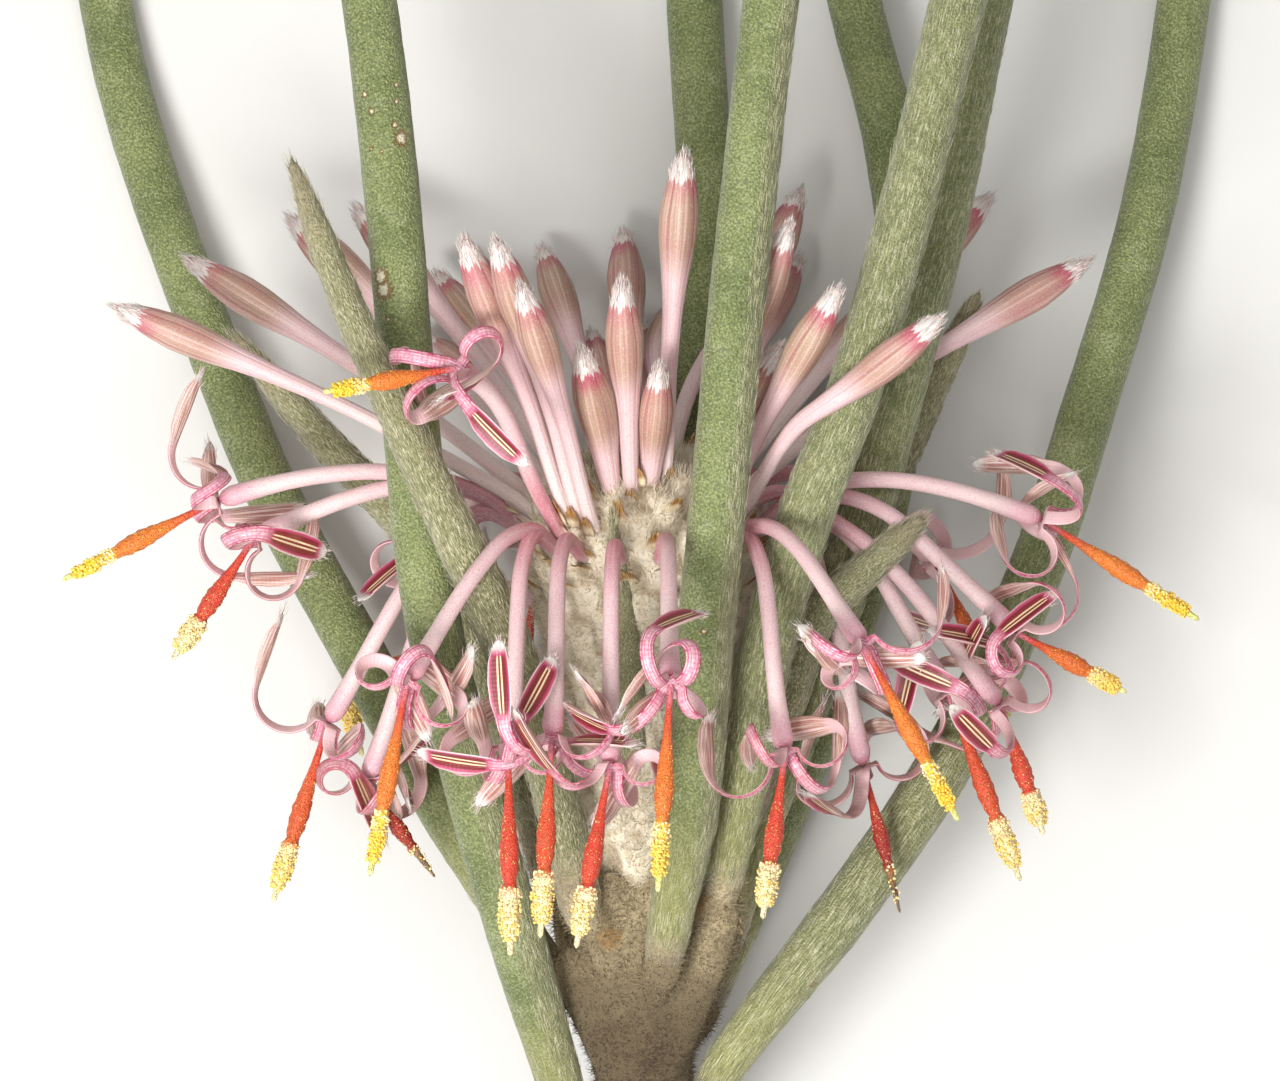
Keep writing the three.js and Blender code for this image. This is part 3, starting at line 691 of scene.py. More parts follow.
class Finish:
    """One material, from its nodes to its surface."""

    def __init__(self, name):
        self.material = bpy.data.materials.new(name)
        self.material.use_nodes = True
        self.nodes = self.material.node_tree.nodes
        self.links = self.material.node_tree.links
        self.shader = self.nodes["Principled BSDF"]

    def plug(self, socket, value):
        if isinstance(value, Wire):
            self.links.new(value.socket, socket)
        elif socket.type == "RGBA":
            socket.default_value = (*tuple(value)[:3], 1.0)
        else:
            socket.default_value = value

    def add(self, kind, settings=None, sockets=None, output=0):
        """Adds a node: its settings first, then the values or wires of its sockets."""
        node = self.nodes.new(kind)
        for key, value in (settings or {}).items():
            setattr(node, key, value)
        for key, value in (sockets or {}).items():
            self.plug(node.inputs[key], value)
        return Wire(self, node.outputs[output])

    def number(self, value):
        return self.add("ShaderNodeMath", {"operation": "ADD"}, {0: float(value), 1: 0.0})

    def value(self, name):
        """A number that was written at every corner of the mesh."""
        return self.add("ShaderNodeAttribute", {"attribute_name": name}, output="Fac")

    def millimetres(self):
        """The piece's own coordinates in millimetres."""
        place = self.add("ShaderNodeTexCoord", output="Object")
        return self.scaled(place, (1 / MM,) * 3)

    def scaled(self, vector, factors):
        return self.add("ShaderNodeMapping", None, {"Vector": vector, "Scale": factors})

    def sheet_place(self):
        """Round (0 to 1) and along (0 to 1) on a rolled sheet."""
        return self.split(self.add("ShaderNodeUVMap", {"uv_map": "UVMap"}))[:2]

    def split(self, vector):
        node = self.nodes.new("ShaderNodeSeparateXYZ")
        self.plug(node.inputs[0], vector)
        return [Wire(self, output) for output in node.outputs]

    def streaks(self, strands, lengthwise, detail=2.0):
        """Noise drawn out along a rolled sheet, with no seam where the sheet closes."""
        around, along = self.sheet_place()
        angle = around * math.tau
        radius = strands / math.tau
        place = self.add("ShaderNodeCombineXYZ", None, {
            "X": angle.maths("COSINE") * radius,
            "Y": angle.maths("SINE") * radius,
            "Z": along * lengthwise,
        })
        return self.noise(place, 1.0, detail)

    def noise(self, place, scale, detail=2.0, roughness=0.5):
        return self.add("ShaderNodeTexNoise", None, {
            "Vector": place, "Scale": scale, "Detail": detail, "Roughness": roughness,
        })

    def dots(self, place, scale):
        """The distance to the nearest of many scattered dots."""
        sockets = {"Vector": place, "Scale": scale}
        return self.add("ShaderNodeTexVoronoi", None, sockets, "Distance")

    def nearest(self, place, marks):
        """How far off the nearest mark is, counted in half widths of that mark."""
        gaps = [
            self.add("ShaderNodeVectorMath", {"operation": "DISTANCE"}, {0: place, 1: mark},
                     output="Value") / width
            for mark, width in marks
        ]
        near = gaps[0]
        for gap in gaps[1:]:
            near = near.maths("MINIMUM", gap)
        return near

    def mix(self, factor, first, second):
        """The first colour where the factor is 0, and the second where it is 1."""
        node = self.nodes.new("ShaderNodeMix")
        node.data_type = "RGBA"
        self.plug(node.inputs[0], factor)
        self.plug(node.inputs[6], first)
        self.plug(node.inputs[7], second)
        return Wire(self, node.outputs[2])

    def ramp(self, factor, stops):
        """The colour at the factor's place among (place, colour) stops."""
        node = self.nodes.new("ShaderNodeValToRGB")
        while len(node.color_ramp.elements) < len(stops):
            node.color_ramp.elements.new(0.5)
        for element, (place, colour) in zip(node.color_ramp.elements, stops):
            element.position = place
            element.color = (*tuple(colour)[:3], 1.0)
        self.plug(node.inputs[0], factor)
        return Wire(self, node.outputs[0])

    def bump(self, height, distance, strength):
        """A relief whose highest parts stand out by the distance, in millimetres."""
        sockets = {"Height": height, "Distance": distance * MM, "Strength": strength}
        return self.add("ShaderNodeBump", None, sockets)

    def surface(self, **sockets):
        """Sets the shader's sockets, named with _ for a space, and gives the material."""
        for key, value in sockets.items():
            self.plug(self.shader.inputs[key.replace("_", " ")], value)
        return self.material


def hex_colour(text):
    """A screen colour such as 8fa070 as the linear colour that the shaders use."""
    parts = [int(text[i : i + 2], 16) / 255 for i in (0, 2, 4)]
    return tuple(p / 12.92 if p <= 0.04045 else ((p + 0.055) / 1.055) ** 2.4 for p in parts)


def colour_property(name, description, text):
    return bpy.props.FloatVectorProperty(
        name=name, description=description, subtype="COLOR", size=3, min=0, max=1,
        default=hex_colour(text),
    )


def length_property(name, description, default):
    """A small length, kept in millimetres."""
    return bpy.props.FloatProperty(name=name, description=description, default=default, min=0.0)


class FlowerSizes(bpy.types.PropertyGroup):
    """Sizes of the fine parts, in millimetres."""

    tepal_width: length_property("Tepal width", "Width of a curled tepal (mm)", 0.78)
    tube_radius: length_property("Tube radius", "Radius of a flower's tube (mm)", 0.25)
    bud_radius: length_property("Bud radius", "Widest radius of a bud (mm)", 0.585)
    bud_tuft: length_property("Bud tuft", "Length of the hairs on a bud's tip (mm)", 0.62)
    wool_length: length_property("Wool length", "Length of the cone's wool (mm)", 0.62)
    felt_length: length_property("Felt length", "Length of the stem's felt (mm)", 0.26)
    silk_length: length_property("Silk length", "Length of the leaves' silky hairs (mm)", 0.75)
    hair_radius: length_property("Hair radius", "Radius of a single hair (mm)", 0.013)
    grain_radius: length_property("Grain radius", "Radius of a pollen grain cluster (mm)", 0.045)


class FlowerColours(bpy.types.PropertyGroup):
    """Colours of the flower, read from the photograph."""

    leaf_green: colour_property("Leaf green", "Main green of the leaves", "91985f")
    leaf_shade: colour_property("Leaf shade", "Deeper green of the leaves", "707a44")
    # Pale bloom on the leaves; also painted as highlights on the tops of the papillae.
    leaf_bloom_and_highlight: colour_property("Leaf bloom", "Pale bloom on the leaves", "a9ae80")
    # Fine dark dots on the leaves; also painted as shade in the hollows between the papillae.
    leaf_dot_and_shade: colour_property("Leaf dots", "Fine dark dots on the leaves", "4a5534")
    leaf_blemish: colour_property("Leaf blemish", "Small brown spots on the leaves", "7c5826")
    silk: colour_property("Silk", "Silvery hairs along the leaves", "e2dcc0")
    leaf_foot: colour_property("Leaf foot", "Yellower green at the leaves' feet", "a09b4e")
    young_green: colour_property("Young green", "Skin of the silky young leaves", "8f8a66")
    felt: colour_property("Felt", "Grey felt of the stem", "bfae8a")
    felt_low: colour_property("Low felt", "Browner felt near the cut end", "4b3e31")
    felt_shade: colour_property("Felt shade", "Brown under the felt", "75664f")
    felt_speck: colour_property("Felt specks", "Dark specks in the felt", "3f362d")
    wool: colour_property("Wool", "Cream wool of the cone", "fcf3df")
    wool_shade: colour_property("Wool shade", "Shade between the wool", "eadab8")
    # Grey-brown silk of the cone's hollows, deepened there as painted shade.
    hollow_silk_and_shade: colour_property("Hollow", "Grey-brown silky hollows of the cone", "a38d6a")
    # Dusky silk between the florets' feet, deepened there as painted shade.
    crown_silk_and_shade: colour_property("Crown brown", "Dusky silk between the florets' feet", "85705a")
    bract_brown: colour_property("Bract brown", "Brown tips of the papery scales", "a87c46")
    bract_vein: colour_property("Bract veins", "Dark veins along the papery scales", "63401f")
    bract_straw: colour_property("Bract straw", "Straw lines along the papery scales", "d2b27c")
    tube_pink: colour_property("Tube pink", "Pink of the tubes", "dcb7ba")
    # Rose of the tubes and buds; at the top of each tube's arch it is painted shade.
    tube_rose_and_shade: colour_property("Tube rose", "Rose at the top of each tube's arch", "c67f8a")
    # Pale foot of the tubes; also painted as highlight streaks along them.
    tube_pale_and_highlight: colour_property("Tube pale", "Pale foot of the tubes", "e8d3cf")
    tepal_magenta: colour_property("Tepal magenta", "Edges of the tepals", "b03c64")
    tepal_pink: colour_property("Tepal pink", "Middle of the tepals", "d490a4")
    # Inner side of the tepals; also painted as highlights along the straps' ridges.
    tepal_pale_and_highlight: colour_property("Tepal pale", "Inner side of the tepals", "eed2ce")
    tepal_old: colour_property("Old tepal", "Brown that comes into ageing tepals", "8a5a48")
    bud_beige: colour_property("Bud beige", "Striped body of the buds", "b0947a")
    # Rose-brown lines along the buds; also painted as shade lines in the white caps.
    bud_line_and_shade: colour_property("Bud lines", "Rose-brown lines along the buds", "a8706a")
    bud_rose: colour_property("Bud rose", "Band below the hairs of the buds", "b24a60")
    anther_red_and_shade: colour_property("Anther red", "Dark red anthers", "7c2228")
    # Dark red anthers; also painted as shade between the beads of the styles' spindle.
    anther_cream: colour_property("Anther cream", "Cream lines on the anthers", "ecd6ac")
    style_red: colour_property("Style red", "Red of the styles", "da472d")
    style_orange: colour_property("Style orange", "Orange of the styles", "f08228")
    style_glint: colour_property("Style glint", "Orange sparkle in the styles' grain", "f8c088")
    style_coral: colour_property("Style coral", "End of the spindle when half old", "d8482c")
    style_wine: colour_property("Style wine", "Spindle of a withered style", "a82a22")
    style_dark: colour_property("Style dark", "End of a withered spindle", "98281f")
    style_neck: colour_property("Style neck", "Foot of a withered brush", "9a6a40")
    style_umber: colour_property("Style umber", "Dried-up brush of a withered style", "5a4030")
    style_tip: colour_property("Style tip", "Tip of a withered style", "8a7048")
    stigma_green: colour_property("Stigma green", "Foot of a fresh style's tip", "dfe07a")
    stigma_pale: colour_property("Stigma pale", "End of a fresh style's tip", "e8e6a0")
    pollen_yellow: colour_property("Pollen yellow", "Fresh pollen", "f7c62e")
    pollen_light: colour_property("Pollen light", "Lighter flecks in fresh pollen", "f8dc6a")
    pollen_cream: colour_property("Pollen cream", "Old pollen", "f5e4b6")
    pollen_ochre: colour_property("Pollen ochre", "Darker flecks in old pollen", "d9b25a")
    # White hairs on buds and tepals; also painted as glints in the tubes' grain.
    tuft_white_and_glint: colour_property("Tuft white", "White hairs on buds and tepals", "dfdad3")


class StageSettings(bpy.types.PropertyGroup):
    """The floor, the camera and the lights."""

    floor_size: bpy.props.FloatProperty(
        name="Floor size", description="Side of the floor", default=2.0, unit="LENGTH")
    floor_colour: colour_property("Floor colour", "Plain pale floor", "dcdad6")
    camera_height: bpy.props.FloatProperty(
        name="Camera height", description="Height of the camera over the flower", default=0.4,
        unit="LENGTH")
    view_width: bpy.props.FloatProperty(
        name="View width", description="Width of what the camera sees", default=0.0384,
        unit="LENGTH")
    view_plane: bpy.props.FloatProperty(
        name="View plane", description="Height at which the view width holds", default=0.012,
        unit="LENGTH")
    key_power: bpy.props.FloatProperty(
        name="Key power", description="Power of the main soft light in watts", default=0.42)
    fill_power: bpy.props.FloatProperty(
        name="Fill power", description="Power of the second soft light in watts", default=0.25)
    near_power: bpy.props.FloatProperty(
        name="Near power", description="Power of the small light close to the head in watts",
        default=0.18)
    sky: bpy.props.FloatProperty(
        name="Sky", description="Strength of the even light from all sides", default=0.3)


# Where the finishes change, in millimetres of the imported frame: along y where the felt turns grey
# and where the cone's crown turns dusky with brown silk and painted shade, and the height above which
# the felt's scars show.
FELT_TURNS_GREY = (-17.3, -12.9)
CROWN_TURNS_DUSKY = (-3.6, -1.4)
SCARS_SHOW_ABOVE = (6.5, 8.0)
# Distances back from a bud's tip, in millimetres, over which its parts pass into each other.
BUD_CAP = (0.82, 0.7)
BUD_BAND = (1.6, 0.85)
BUD_CLUB_ENDS = (2.7, 4.2)
BUD_TUBE_PALES = (5.5, 10.0)
# The same back from a tepal's tip, and how far the anther reaches to the limb's edges.
TEPAL_TIP = (0.5, 0.2)
ANTHER_TOP = (0.45, 0.6)
ANTHER_FOOT = (2.3, 2.15)
ANTHER_EDGES = (0.72, 0.62)
ANTHER_LINES_AT = 0.17
LIMB_STARTS = (2.55, 2.15)
RUNG_RADIANS_PER_MM = 48.0
# Where a style's spindle ends, as a share of its length.
SPINDLE_ENDS = (0.68, 0.64)


def felt_skin(f, place, colours):
    """The colour of the felt, browner towards the cut end, and the height of its fibres."""
    fibre = f.noise(place, 8.0, 4.0, 0.7)
    high = (f.split(place)[1] + f.noise(place, 0.8, 2.0) * 3.0).between(*FELT_TURNS_GREY)
    skin = f.mix(high, colours.felt_low, colours.felt)
    skin = f.mix(f.noise(place, 1.1, 3.0).between(0.4, 0.7) * 0.5, skin, colours.felt_shade)
    skin = f.mix(fibre.between(0.58, 0.4) * 0.6, skin, colours.felt_shade)
    skin = f.mix(f.noise(place, 12.0, 2.0).between(0.48, 0.3) * 0.35, skin, colours.felt_speck)
    specks = f.dots(place, 5.0).between(0.28, 0.1) * f.noise(place, 3.0).between(0.42, 0.6)
    return f.mix(specks * 0.65, skin, colours.felt_speck), fibre


def leaf_finish(colours, name, marks=(), young=False):
    """Grey-green skin with fine papillae, pits and streaks of silver hair, felted at its foot. The
    papillae have painted highlights on their tops and painted shade between them.
    """
    f = Finish(name)
    place = f.millimetres()
    silk = f.value("silk")
    green = colours.young_green if young else colours.leaf_green
    skin = f.mix(f.noise(place, 0.4, 3.0).between(0.35, 0.7), green, colours.leaf_shade)
    skin = f.mix(f.noise(place, 1.4, 3.0).between(0.5, 0.72) * 0.5, skin, colours.leaf_bloom_and_highlight)
    grain = f.noise(place, 14.0, 2.0, 0.6)
    papillae = f.dots(place, 11.0)
    # Painted shade in the hollows between the papillae, then painted highlights on their tops.
    skin = f.mix(papillae.between(0.4, 0.6) * 0.5, skin, colours.leaf_dot_and_shade)
    skin = f.mix(papillae.between(0.26, 0.1) * 0.4, skin, colours.leaf_bloom_and_highlight)
    skin = f.mix(grain.between(0.5, 0.36) * 0.65, skin, colours.leaf_dot_and_shade)
    skin = f.mix(grain.between(0.53, 0.7) * 0.65, skin, colours.leaf_bloom_and_highlight)
    skin = f.mix(f.value("foot") * 0.7, skin, colours.leaf_foot)
    skin = f.mix(silk * silk * 0.7, skin, colours.young_green)
    strands = f.streaks(130.0, 130.0, 2.0)
    skin = f.mix(strands.between(0.47, 0.36) * silk * 0.7, skin, colours.leaf_dot_and_shade)
    skin = f.mix(strands.between(0.54, 0.66) * silk * 0.6, skin, colours.silk)
    height = grain * 0.4 + papillae.between(0.6, 0.1) * 0.8 + strands * silk
    if marks:
        gap = f.nearest(place, marks) + grain * 1.4 - 0.7
        skin = f.mix(gap.between(1.4, 0.95) * 0.8, skin, colours.leaf_blemish)
        skin = f.mix(gap.between(0.8, 0.5) * 0.8, skin, colours.silk)
        height = height - gap.between(1.4, 0.8) + gap.between(0.8, 0.4)
    felt, fibre = felt_skin(f, place, colours)
    skin = f.mix((f.value("felted") + fibre * 0.8 - 0.4).between(0.15, 0.8), skin, felt)
    return f.surface(
        Base_Color=skin, Roughness=0.6 - silk * 0.1, Normal=f.bump(height, 0.06, 0.7),
        Specular_IOR_Level=0.35, Sheen_Weight=0.2, Sheen_Roughness=0.5,
    )


def hair_finish(name, root, tip, roughness=0.55, shade=None):
    """Hair that changes colour from its root to its tip, and to the shade where tone is high."""
    f = Finish(name)
    colour = f.mix(f.value("reach").between(0.0, 0.8), root, tip)
    if shade is not None:
        colour = f.mix(f.value("tone"), colour, shade)
    return f.surface(
        Base_Color=colour, Roughness=roughness, Specular_IOR_Level=0.4, Sheen_Weight=0.3,
        Sheen_Tint=tip)


def felt_finish(colours):
    """Matt grey-beige felt with dark speckle, and brown scars on its upper side."""
    f = Finish("stem_felt")
    place = f.millimetres()
    skin, fibre = felt_skin(f, place, colours)
    x, y, z = f.split(place)
    from_above = f.add("ShaderNodeCombineXYZ", None, {"X": x, "Y": y})
    scars = [
        (tuple(in_frame((across, along, 0)) / MM), width) for across, along, width in FELT_SCARS
    ]
    gap = f.nearest(from_above, scars) + fibre * 1.2 - 0.6
    shown = z.between(*SCARS_SHOW_ABOVE) * 0.6
    skin = f.mix(gap.between(1.2, 0.6) * shown, skin, colours.bract_brown)
    return f.surface(
        Base_Color=skin, Roughness=0.95, Normal=f.bump(fibre, 0.12, 0.9), Specular_IOR_Level=0.12,
        Sheen_Weight=0.4, Sheen_Tint=colours.felt)


def cone_finish(colours):
    """Cream woolly tongues with brown rims and grey-brown hollows between them; the hollows and the
    crown are darkened partly by their own silk and partly by painted shade.
    """
    f = Finish("cone_wool")
    place = f.millimetres()
    lift, tip = f.value("lift"), f.value("tip")
    curls = f.noise(place, 3.4, 5.0, 0.7)
    skin = f.mix(curls.between(0.62, 0.36) * 0.8, colours.wool, colours.wool_shade)
    # The hollows between the tongues: their own grey-brown silk and painted shade.
    skin = f.mix((lift + curls * 0.4 - 0.2).between(0.5, 0.15) * 0.75, skin, colours.hollow_silk_and_shade)
    rim = tip.between(0.4, 0.75) * f.noise(place, 2.4, 3.0).between(0.45, 0.62)
    skin = f.mix(rim * 0.5, skin, colours.bract_brown)
    # The crown between the florets' feet: brown silk and painted shade.
    crown = f.split(place)[1].between(*CROWN_TURNS_DUSKY) * f.noise(place, 1.6, 3.0).between(0.35, 0.6)
    skin = f.mix(crown * 0.6, skin, colours.crown_silk_and_shade)
    flecks = f.dots(place, 5.0).between(0.14, 0.06) * lift
    skin = f.mix(flecks * 0.6, skin, colours.bract_brown)
    return f.surface(
        Base_Color=skin, Roughness=0.95, Normal=f.bump(curls, 0.2, 0.8), Specular_IOR_Level=0.1,
        Sheen_Weight=0.6, Sheen_Tint=colours.wool)


def bract_finish(colours):
    """Golden-brown papery tips on woolly feet."""
    f = Finish("bract_scale")
    place = f.millimetres()
    edge = f.value("reach") + f.noise(place, 3.0, 2.0) * 0.5 - 0.25
    skin = f.mix(edge.between(0.25, 0.7), colours.wool_shade, colours.bract_brown)
    grid = f.add("ShaderNodeCombineXYZ", None, {
        "X": f.value("side") * 15.0, "Y": f.value("reach") * 1.5, "Z": f.split(place)[0]})
    lines = f.noise(grid, 1.0, 2.0)
    skin = f.mix(lines.between(0.48, 0.6) * edge.between(0.3, 1.0), skin, colours.bract_vein)
    skin = f.mix(lines.between(0.44, 0.34) * 0.8, skin, colours.bract_straw)
    return f.surface(
        Base_Color=skin, Roughness=0.55, Normal=f.bump(lines, 0.06, 0.7), Specular_IOR_Level=0.4)


def tube_finish(colours):
    """Waxy pink with a fine grain; the rose at the top of the arch is painted shade, the pale streaks
    are painted highlights and the white specks of the grain are painted glints.
    """
    f = Finish("tube_wax")
    place = f.millimetres()
    along = f.sheet_place()[1]
    lines = f.streaks(14.0, 5.0, 2.0)
    # Painted shade: the tube deepens to rose at the top of its arch.
    skin = f.mix(along.between(0.04, 0.16), colours.tube_pale_and_highlight, colours.tube_rose_and_shade)
    skin = f.mix(along.between(0.26, 0.52), skin, colours.tube_pink)
    skin = f.mix(along.between(0.5, 0.8) * 0.5, skin, colours.tube_pale_and_highlight)
    # Painted highlights: pale streaks along the tube.
    skin = f.mix(lines.between(0.42, 0.64) * 0.2, skin, colours.tube_pale_and_highlight)
    skin = f.mix(along.between(0.84, 0.95) * 0.6, skin, colours.tepal_pink)
    skin = f.mix(along.between(0.95, 1.0) * 0.7, skin, colours.tepal_magenta)
    grain = f.noise(place, 22.0, 2.0)
    skin = f.mix(grain.between(0.45, 0.3) * 0.5, skin, colours.tube_rose_and_shade)
    # Painted glints: white specks in the fine grain.
    skin = f.mix(grain.between(0.55, 0.72) * 0.7, skin, colours.tuft_white_and_glint)
    return f.surface(
        Base_Color=skin, Roughness=0.45, Normal=f.bump(grain, 0.05, 0.7), Subsurface_Weight=0.15,
        Subsurface_Scale=0.5 * MM, Specular_IOR_Level=0.5, Coat_Weight=0.1, Coat_Roughness=0.3,
    )


def bud_finish(colours):
    """Pink tube, striped beige club, rose band and a pale tip under the white hairs, with painted shade
    lines in the tip's white.
    """
    f = Finish("bud_skin")
    place = f.millimetres()
    back = f.value("back")
    around = f.sheet_place()[0]
    lines = f.streaks(52.0, 1.6, 3.0)
    seam = ((around * TEPALS).maths("FRACT") - 0.5).maths("ABSOLUTE").between(0.08, 0.02)
    club = f.mix(lines.between(0.5, 0.64) * 0.35, colours.bud_beige, colours.tepal_pale_and_highlight)
    club = f.mix(lines.between(0.48, 0.36) * 0.55, club, colours.bud_line_and_shade)
    club = f.mix(seam * 0.6, club, colours.bud_line_and_shade)
    flush = f.value("shade") * 0.25 + f.noise(place, 0.7, 2.0).between(0.45, 0.75) * 0.25
    club = f.mix(flush, club, colours.tube_rose_and_shade)
    tube = f.mix(back.between(*BUD_TUBE_PALES), colours.tube_pink, colours.tube_pale_and_highlight)
    tube = f.mix(lines.between(0.45, 0.6) * 0.5, tube, colours.tube_pale_and_highlight)
    skin = f.mix(back.between(*BUD_CLUB_ENDS), club, tube)
    jagged = back + f.streaks(30.0, 3.0, 2.0) * 0.9 - 0.45
    one_side = ((around + f.value("shade")) * math.tau).maths("SINE") * 0.3 + 0.6
    skin = f.mix(jagged.between(*BUD_BAND) * one_side, skin, colours.bud_rose)
    # Painted shade: darker lines between the hairs of the white cap.
    cap = f.mix(lines.between(0.5, 0.36) * 0.5, colours.tuft_white_and_glint, colours.bud_line_and_shade)
    skin = f.mix(jagged.between(*BUD_CAP), skin, cap)
    grain = f.noise(place, 20.0, 2.0)
    skin = f.mix(grain.between(0.45, 0.3) * 0.35, skin, colours.bud_line_and_shade)
    skin = f.mix(grain.between(0.55, 0.75) * 0.4, skin, colours.tuft_white_and_glint)
    bump = f.bump(lines * 0.7 + grain * 0.3 - seam * 0.7, 0.05, 0.5)
    return f.surface(
        Base_Color=skin, Roughness=0.45, Normal=bump, Subsurface_Weight=0.15,
        Subsurface_Scale=0.5 * MM, Specular_IOR_Level=0.45,
    )


def tepal_finish(colours):
    """Magenta strap whose pale stripes along its ridges are painted highlights, then a beige limb with
    a dark red, cream-lined anther inside.
    """
    f = Finish("tepal_skin")
    place = f.millimetres()
    around = f.sheet_place()[0]
    back = f.value("back")
    angle = around * math.tau
    from_middle = angle.maths("COSINE").maths("ABSOLUTE")
    inner = angle.maths("SINE").between(-0.12, 0.12)
    limb = back.between(*LIMB_STARTS)
    ridge_highlights = (from_middle * 17.0).maths("SINE").between(0.0, 0.8)
    beads = f.noise(place, 7.0, 2.0).between(0.35, 0.6)
    strap = f.mix(from_middle.between(0.4, 0.9), colours.tepal_pink, colours.tepal_magenta)
    rungs = (back * RUNG_RADIANS_PER_MM).maths("SINE").between(-0.2, 0.9)
    strap = f.mix(rungs * 0.35, strap, colours.tepal_magenta)
    # Painted highlights: pale stripes along the strap's ridges.
    strap = f.mix(ridge_highlights * beads * 0.85, strap, colours.tepal_pale_and_highlight)
    strap = f.mix(inner, f.mix(0.35, colours.tepal_pale_and_highlight, colours.tepal_pink), strap)
    lines = f.streaks(60.0, 3.0, 2.0)
    outer_limb = f.mix(lines.between(0.4, 0.62), colours.bud_beige, colours.tepal_pale_and_highlight)
    outer_limb = f.mix(lines.between(0.5, 0.36) * 0.6, outer_limb, colours.bud_rose)
    line = (from_middle - ANTHER_LINES_AT).maths("ABSOLUTE").between(0.1, 0.05)
    anther = f.mix(line, colours.anther_red_and_shade, colours.anther_cream)
    margin = f.mix(from_middle.between(0.8, 1.0), colours.tepal_magenta, colours.tepal_pale_and_highlight)
    held = from_middle.between(*ANTHER_EDGES) * back.between(*ANTHER_FOOT) * back.between(*ANTHER_TOP)
    inner_limb = f.mix(held, margin, anther)
    skin = f.mix(limb, strap, f.mix(inner, outer_limb, inner_limb))
    skin = f.mix(back.between(*TEPAL_TIP), skin, colours.tuft_white_and_glint)
    old = f.noise(place, 1.2, 2.0).between(0.35, 0.6) * f.value("age").between(0.3, 1.0)
    skin = f.mix(old * 0.5, skin, colours.tepal_old)
    grain = f.noise(place, 24.0, 2.0)
    bump = f.bump(ridge_highlights * 0.4 + rungs * 0.3 + grain * 0.5 + lines * limb * 0.5, 0.03, 0.5)
    return f.surface(
        Base_Color=skin, Roughness=0.4, Normal=bump, Subsurface_Weight=0.15,
        Subsurface_Scale=0.4 * MM, Specular_IOR_Level=0.5, Coat_Weight=0.15, Coat_Roughness=0.25,
    )


def style_finish(colours):
    """Pink neck, red to orange spindle and yellow brush, with painted glints on the grain's beads and
    painted shade between them on the spindle. Old ones are dark red and withered.
    """
    f = Finish("style_skin")
    place = f.millimetres()
    along = f.sheet_place()[1]
    age = f.value("age")
    fresh = f.ramp(along, [
        (0.0, colours.tepal_pink), (0.14, colours.style_red), (0.34, colours.style_orange),
        (0.64, colours.style_orange), (0.69, colours.pollen_yellow), (0.92, colours.pollen_yellow),
        (0.94, colours.stigma_green), (1.0, colours.stigma_pale),
    ])
    old = f.ramp(along, [
        (0.0, colours.tepal_magenta), (0.18, colours.style_red), (0.5, colours.style_wine),
        (0.66, colours.style_dark), (0.72, colours.style_neck), (0.85, colours.style_umber),
        (1.0, colours.style_tip),
    ])
    middle = f.ramp(along, [
        (0.0, colours.tepal_pink), (0.16, colours.style_red), (0.5, colours.style_red),
        (0.66, colours.style_coral), (0.71, colours.pollen_cream), (1.0, colours.pollen_cream),
    ])
    skin = f.mix(age.between(0.1, 0.5), fresh, middle)
    skin = f.mix(age.between(0.7, 0.95), skin, old)
    beads = f.dots(place, 15.0).between(0.5, 0.15)
    grain = beads * 0.7 + f.noise(place, 18.0, 3.0, 0.6) * 0.5
    skin = f.mix(grain.between(0.7, 0.95) * 0.5, skin, colours.style_glint)
    spindle = along.between(*SPINDLE_ENDS)
    # Painted shade: dark red between the grain's beads on the spindle.
    skin = f.mix(grain.between(0.34, 0.18) * spindle * 0.35, skin, colours.anther_red_and_shade)
    return f.surface(
        Base_Color=skin, Roughness=0.36, Normal=f.bump(grain, 0.08, 0.9), Subsurface_Weight=0.1,
        Subsurface_Scale=0.4 * MM, Specular_IOR_Level=0.5,
    )


def pollen_finish(colours):
    """Clumps of pollen, yellow when fresh and cream when old."""
    f = Finish("pollen_grain")
    fleck = f.noise(f.millimetres(), 5.0, 2.0)
    fresh = f.mix(fleck.between(0.4, 0.65), colours.pollen_yellow, colours.pollen_light)
    fresh = f.mix(f.value("spent"), fresh, colours.pollen_cream)
    old = f.mix(fleck.between(0.4, 0.65), colours.pollen_cream, colours.pollen_ochre)
    skin = f.mix(f.value("age"), fresh, old)
    return f.surface(
        Base_Color=skin, Roughness=0.6, Subsurface_Weight=0.1, Subsurface_Scale=0.3 * MM)


def leaf_line(controls, rings, sink):
    """The leaf's fine line, carried on into the felt that it grows from."""
    foot = Vector(controls[0])
    inwards = HEAD_ZERO + AXIS * (foot - HEAD_ZERO).dot(AXIS)
    back = (foot - Vector(controls[1])).normalized() + (inwards - foot).normalized()
    root = foot + back.normalized() * sink
    dense = [root, *catmull_rom(controls)]
    return Line(spaced(dense, even(rings)))


def on_top(line, mark):
    """A mark on the upper side of a leaf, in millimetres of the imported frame, with its width."""
    across, along, width = mark
    middle = line.at[np.argmin(np.abs(line.at[:, 1] - along))]
    off = np.clip(across - middle[0], -0.9 * LEAF_RADIUS, 0.9 * LEAF_RADIUS)
    height = middle[2] + math.sqrt(LEAF_RADIUS**2 - off**2)
    return tuple(in_frame((middle[0] + off, along, height)) / MM), width


def fading(length, start, end):
    """1 at a leaf's foot, and 0 from the end on, both in millimetres from its root."""
    return lambda share, angle: np.interp(share * length, [start, end], [1.0, 0.0])


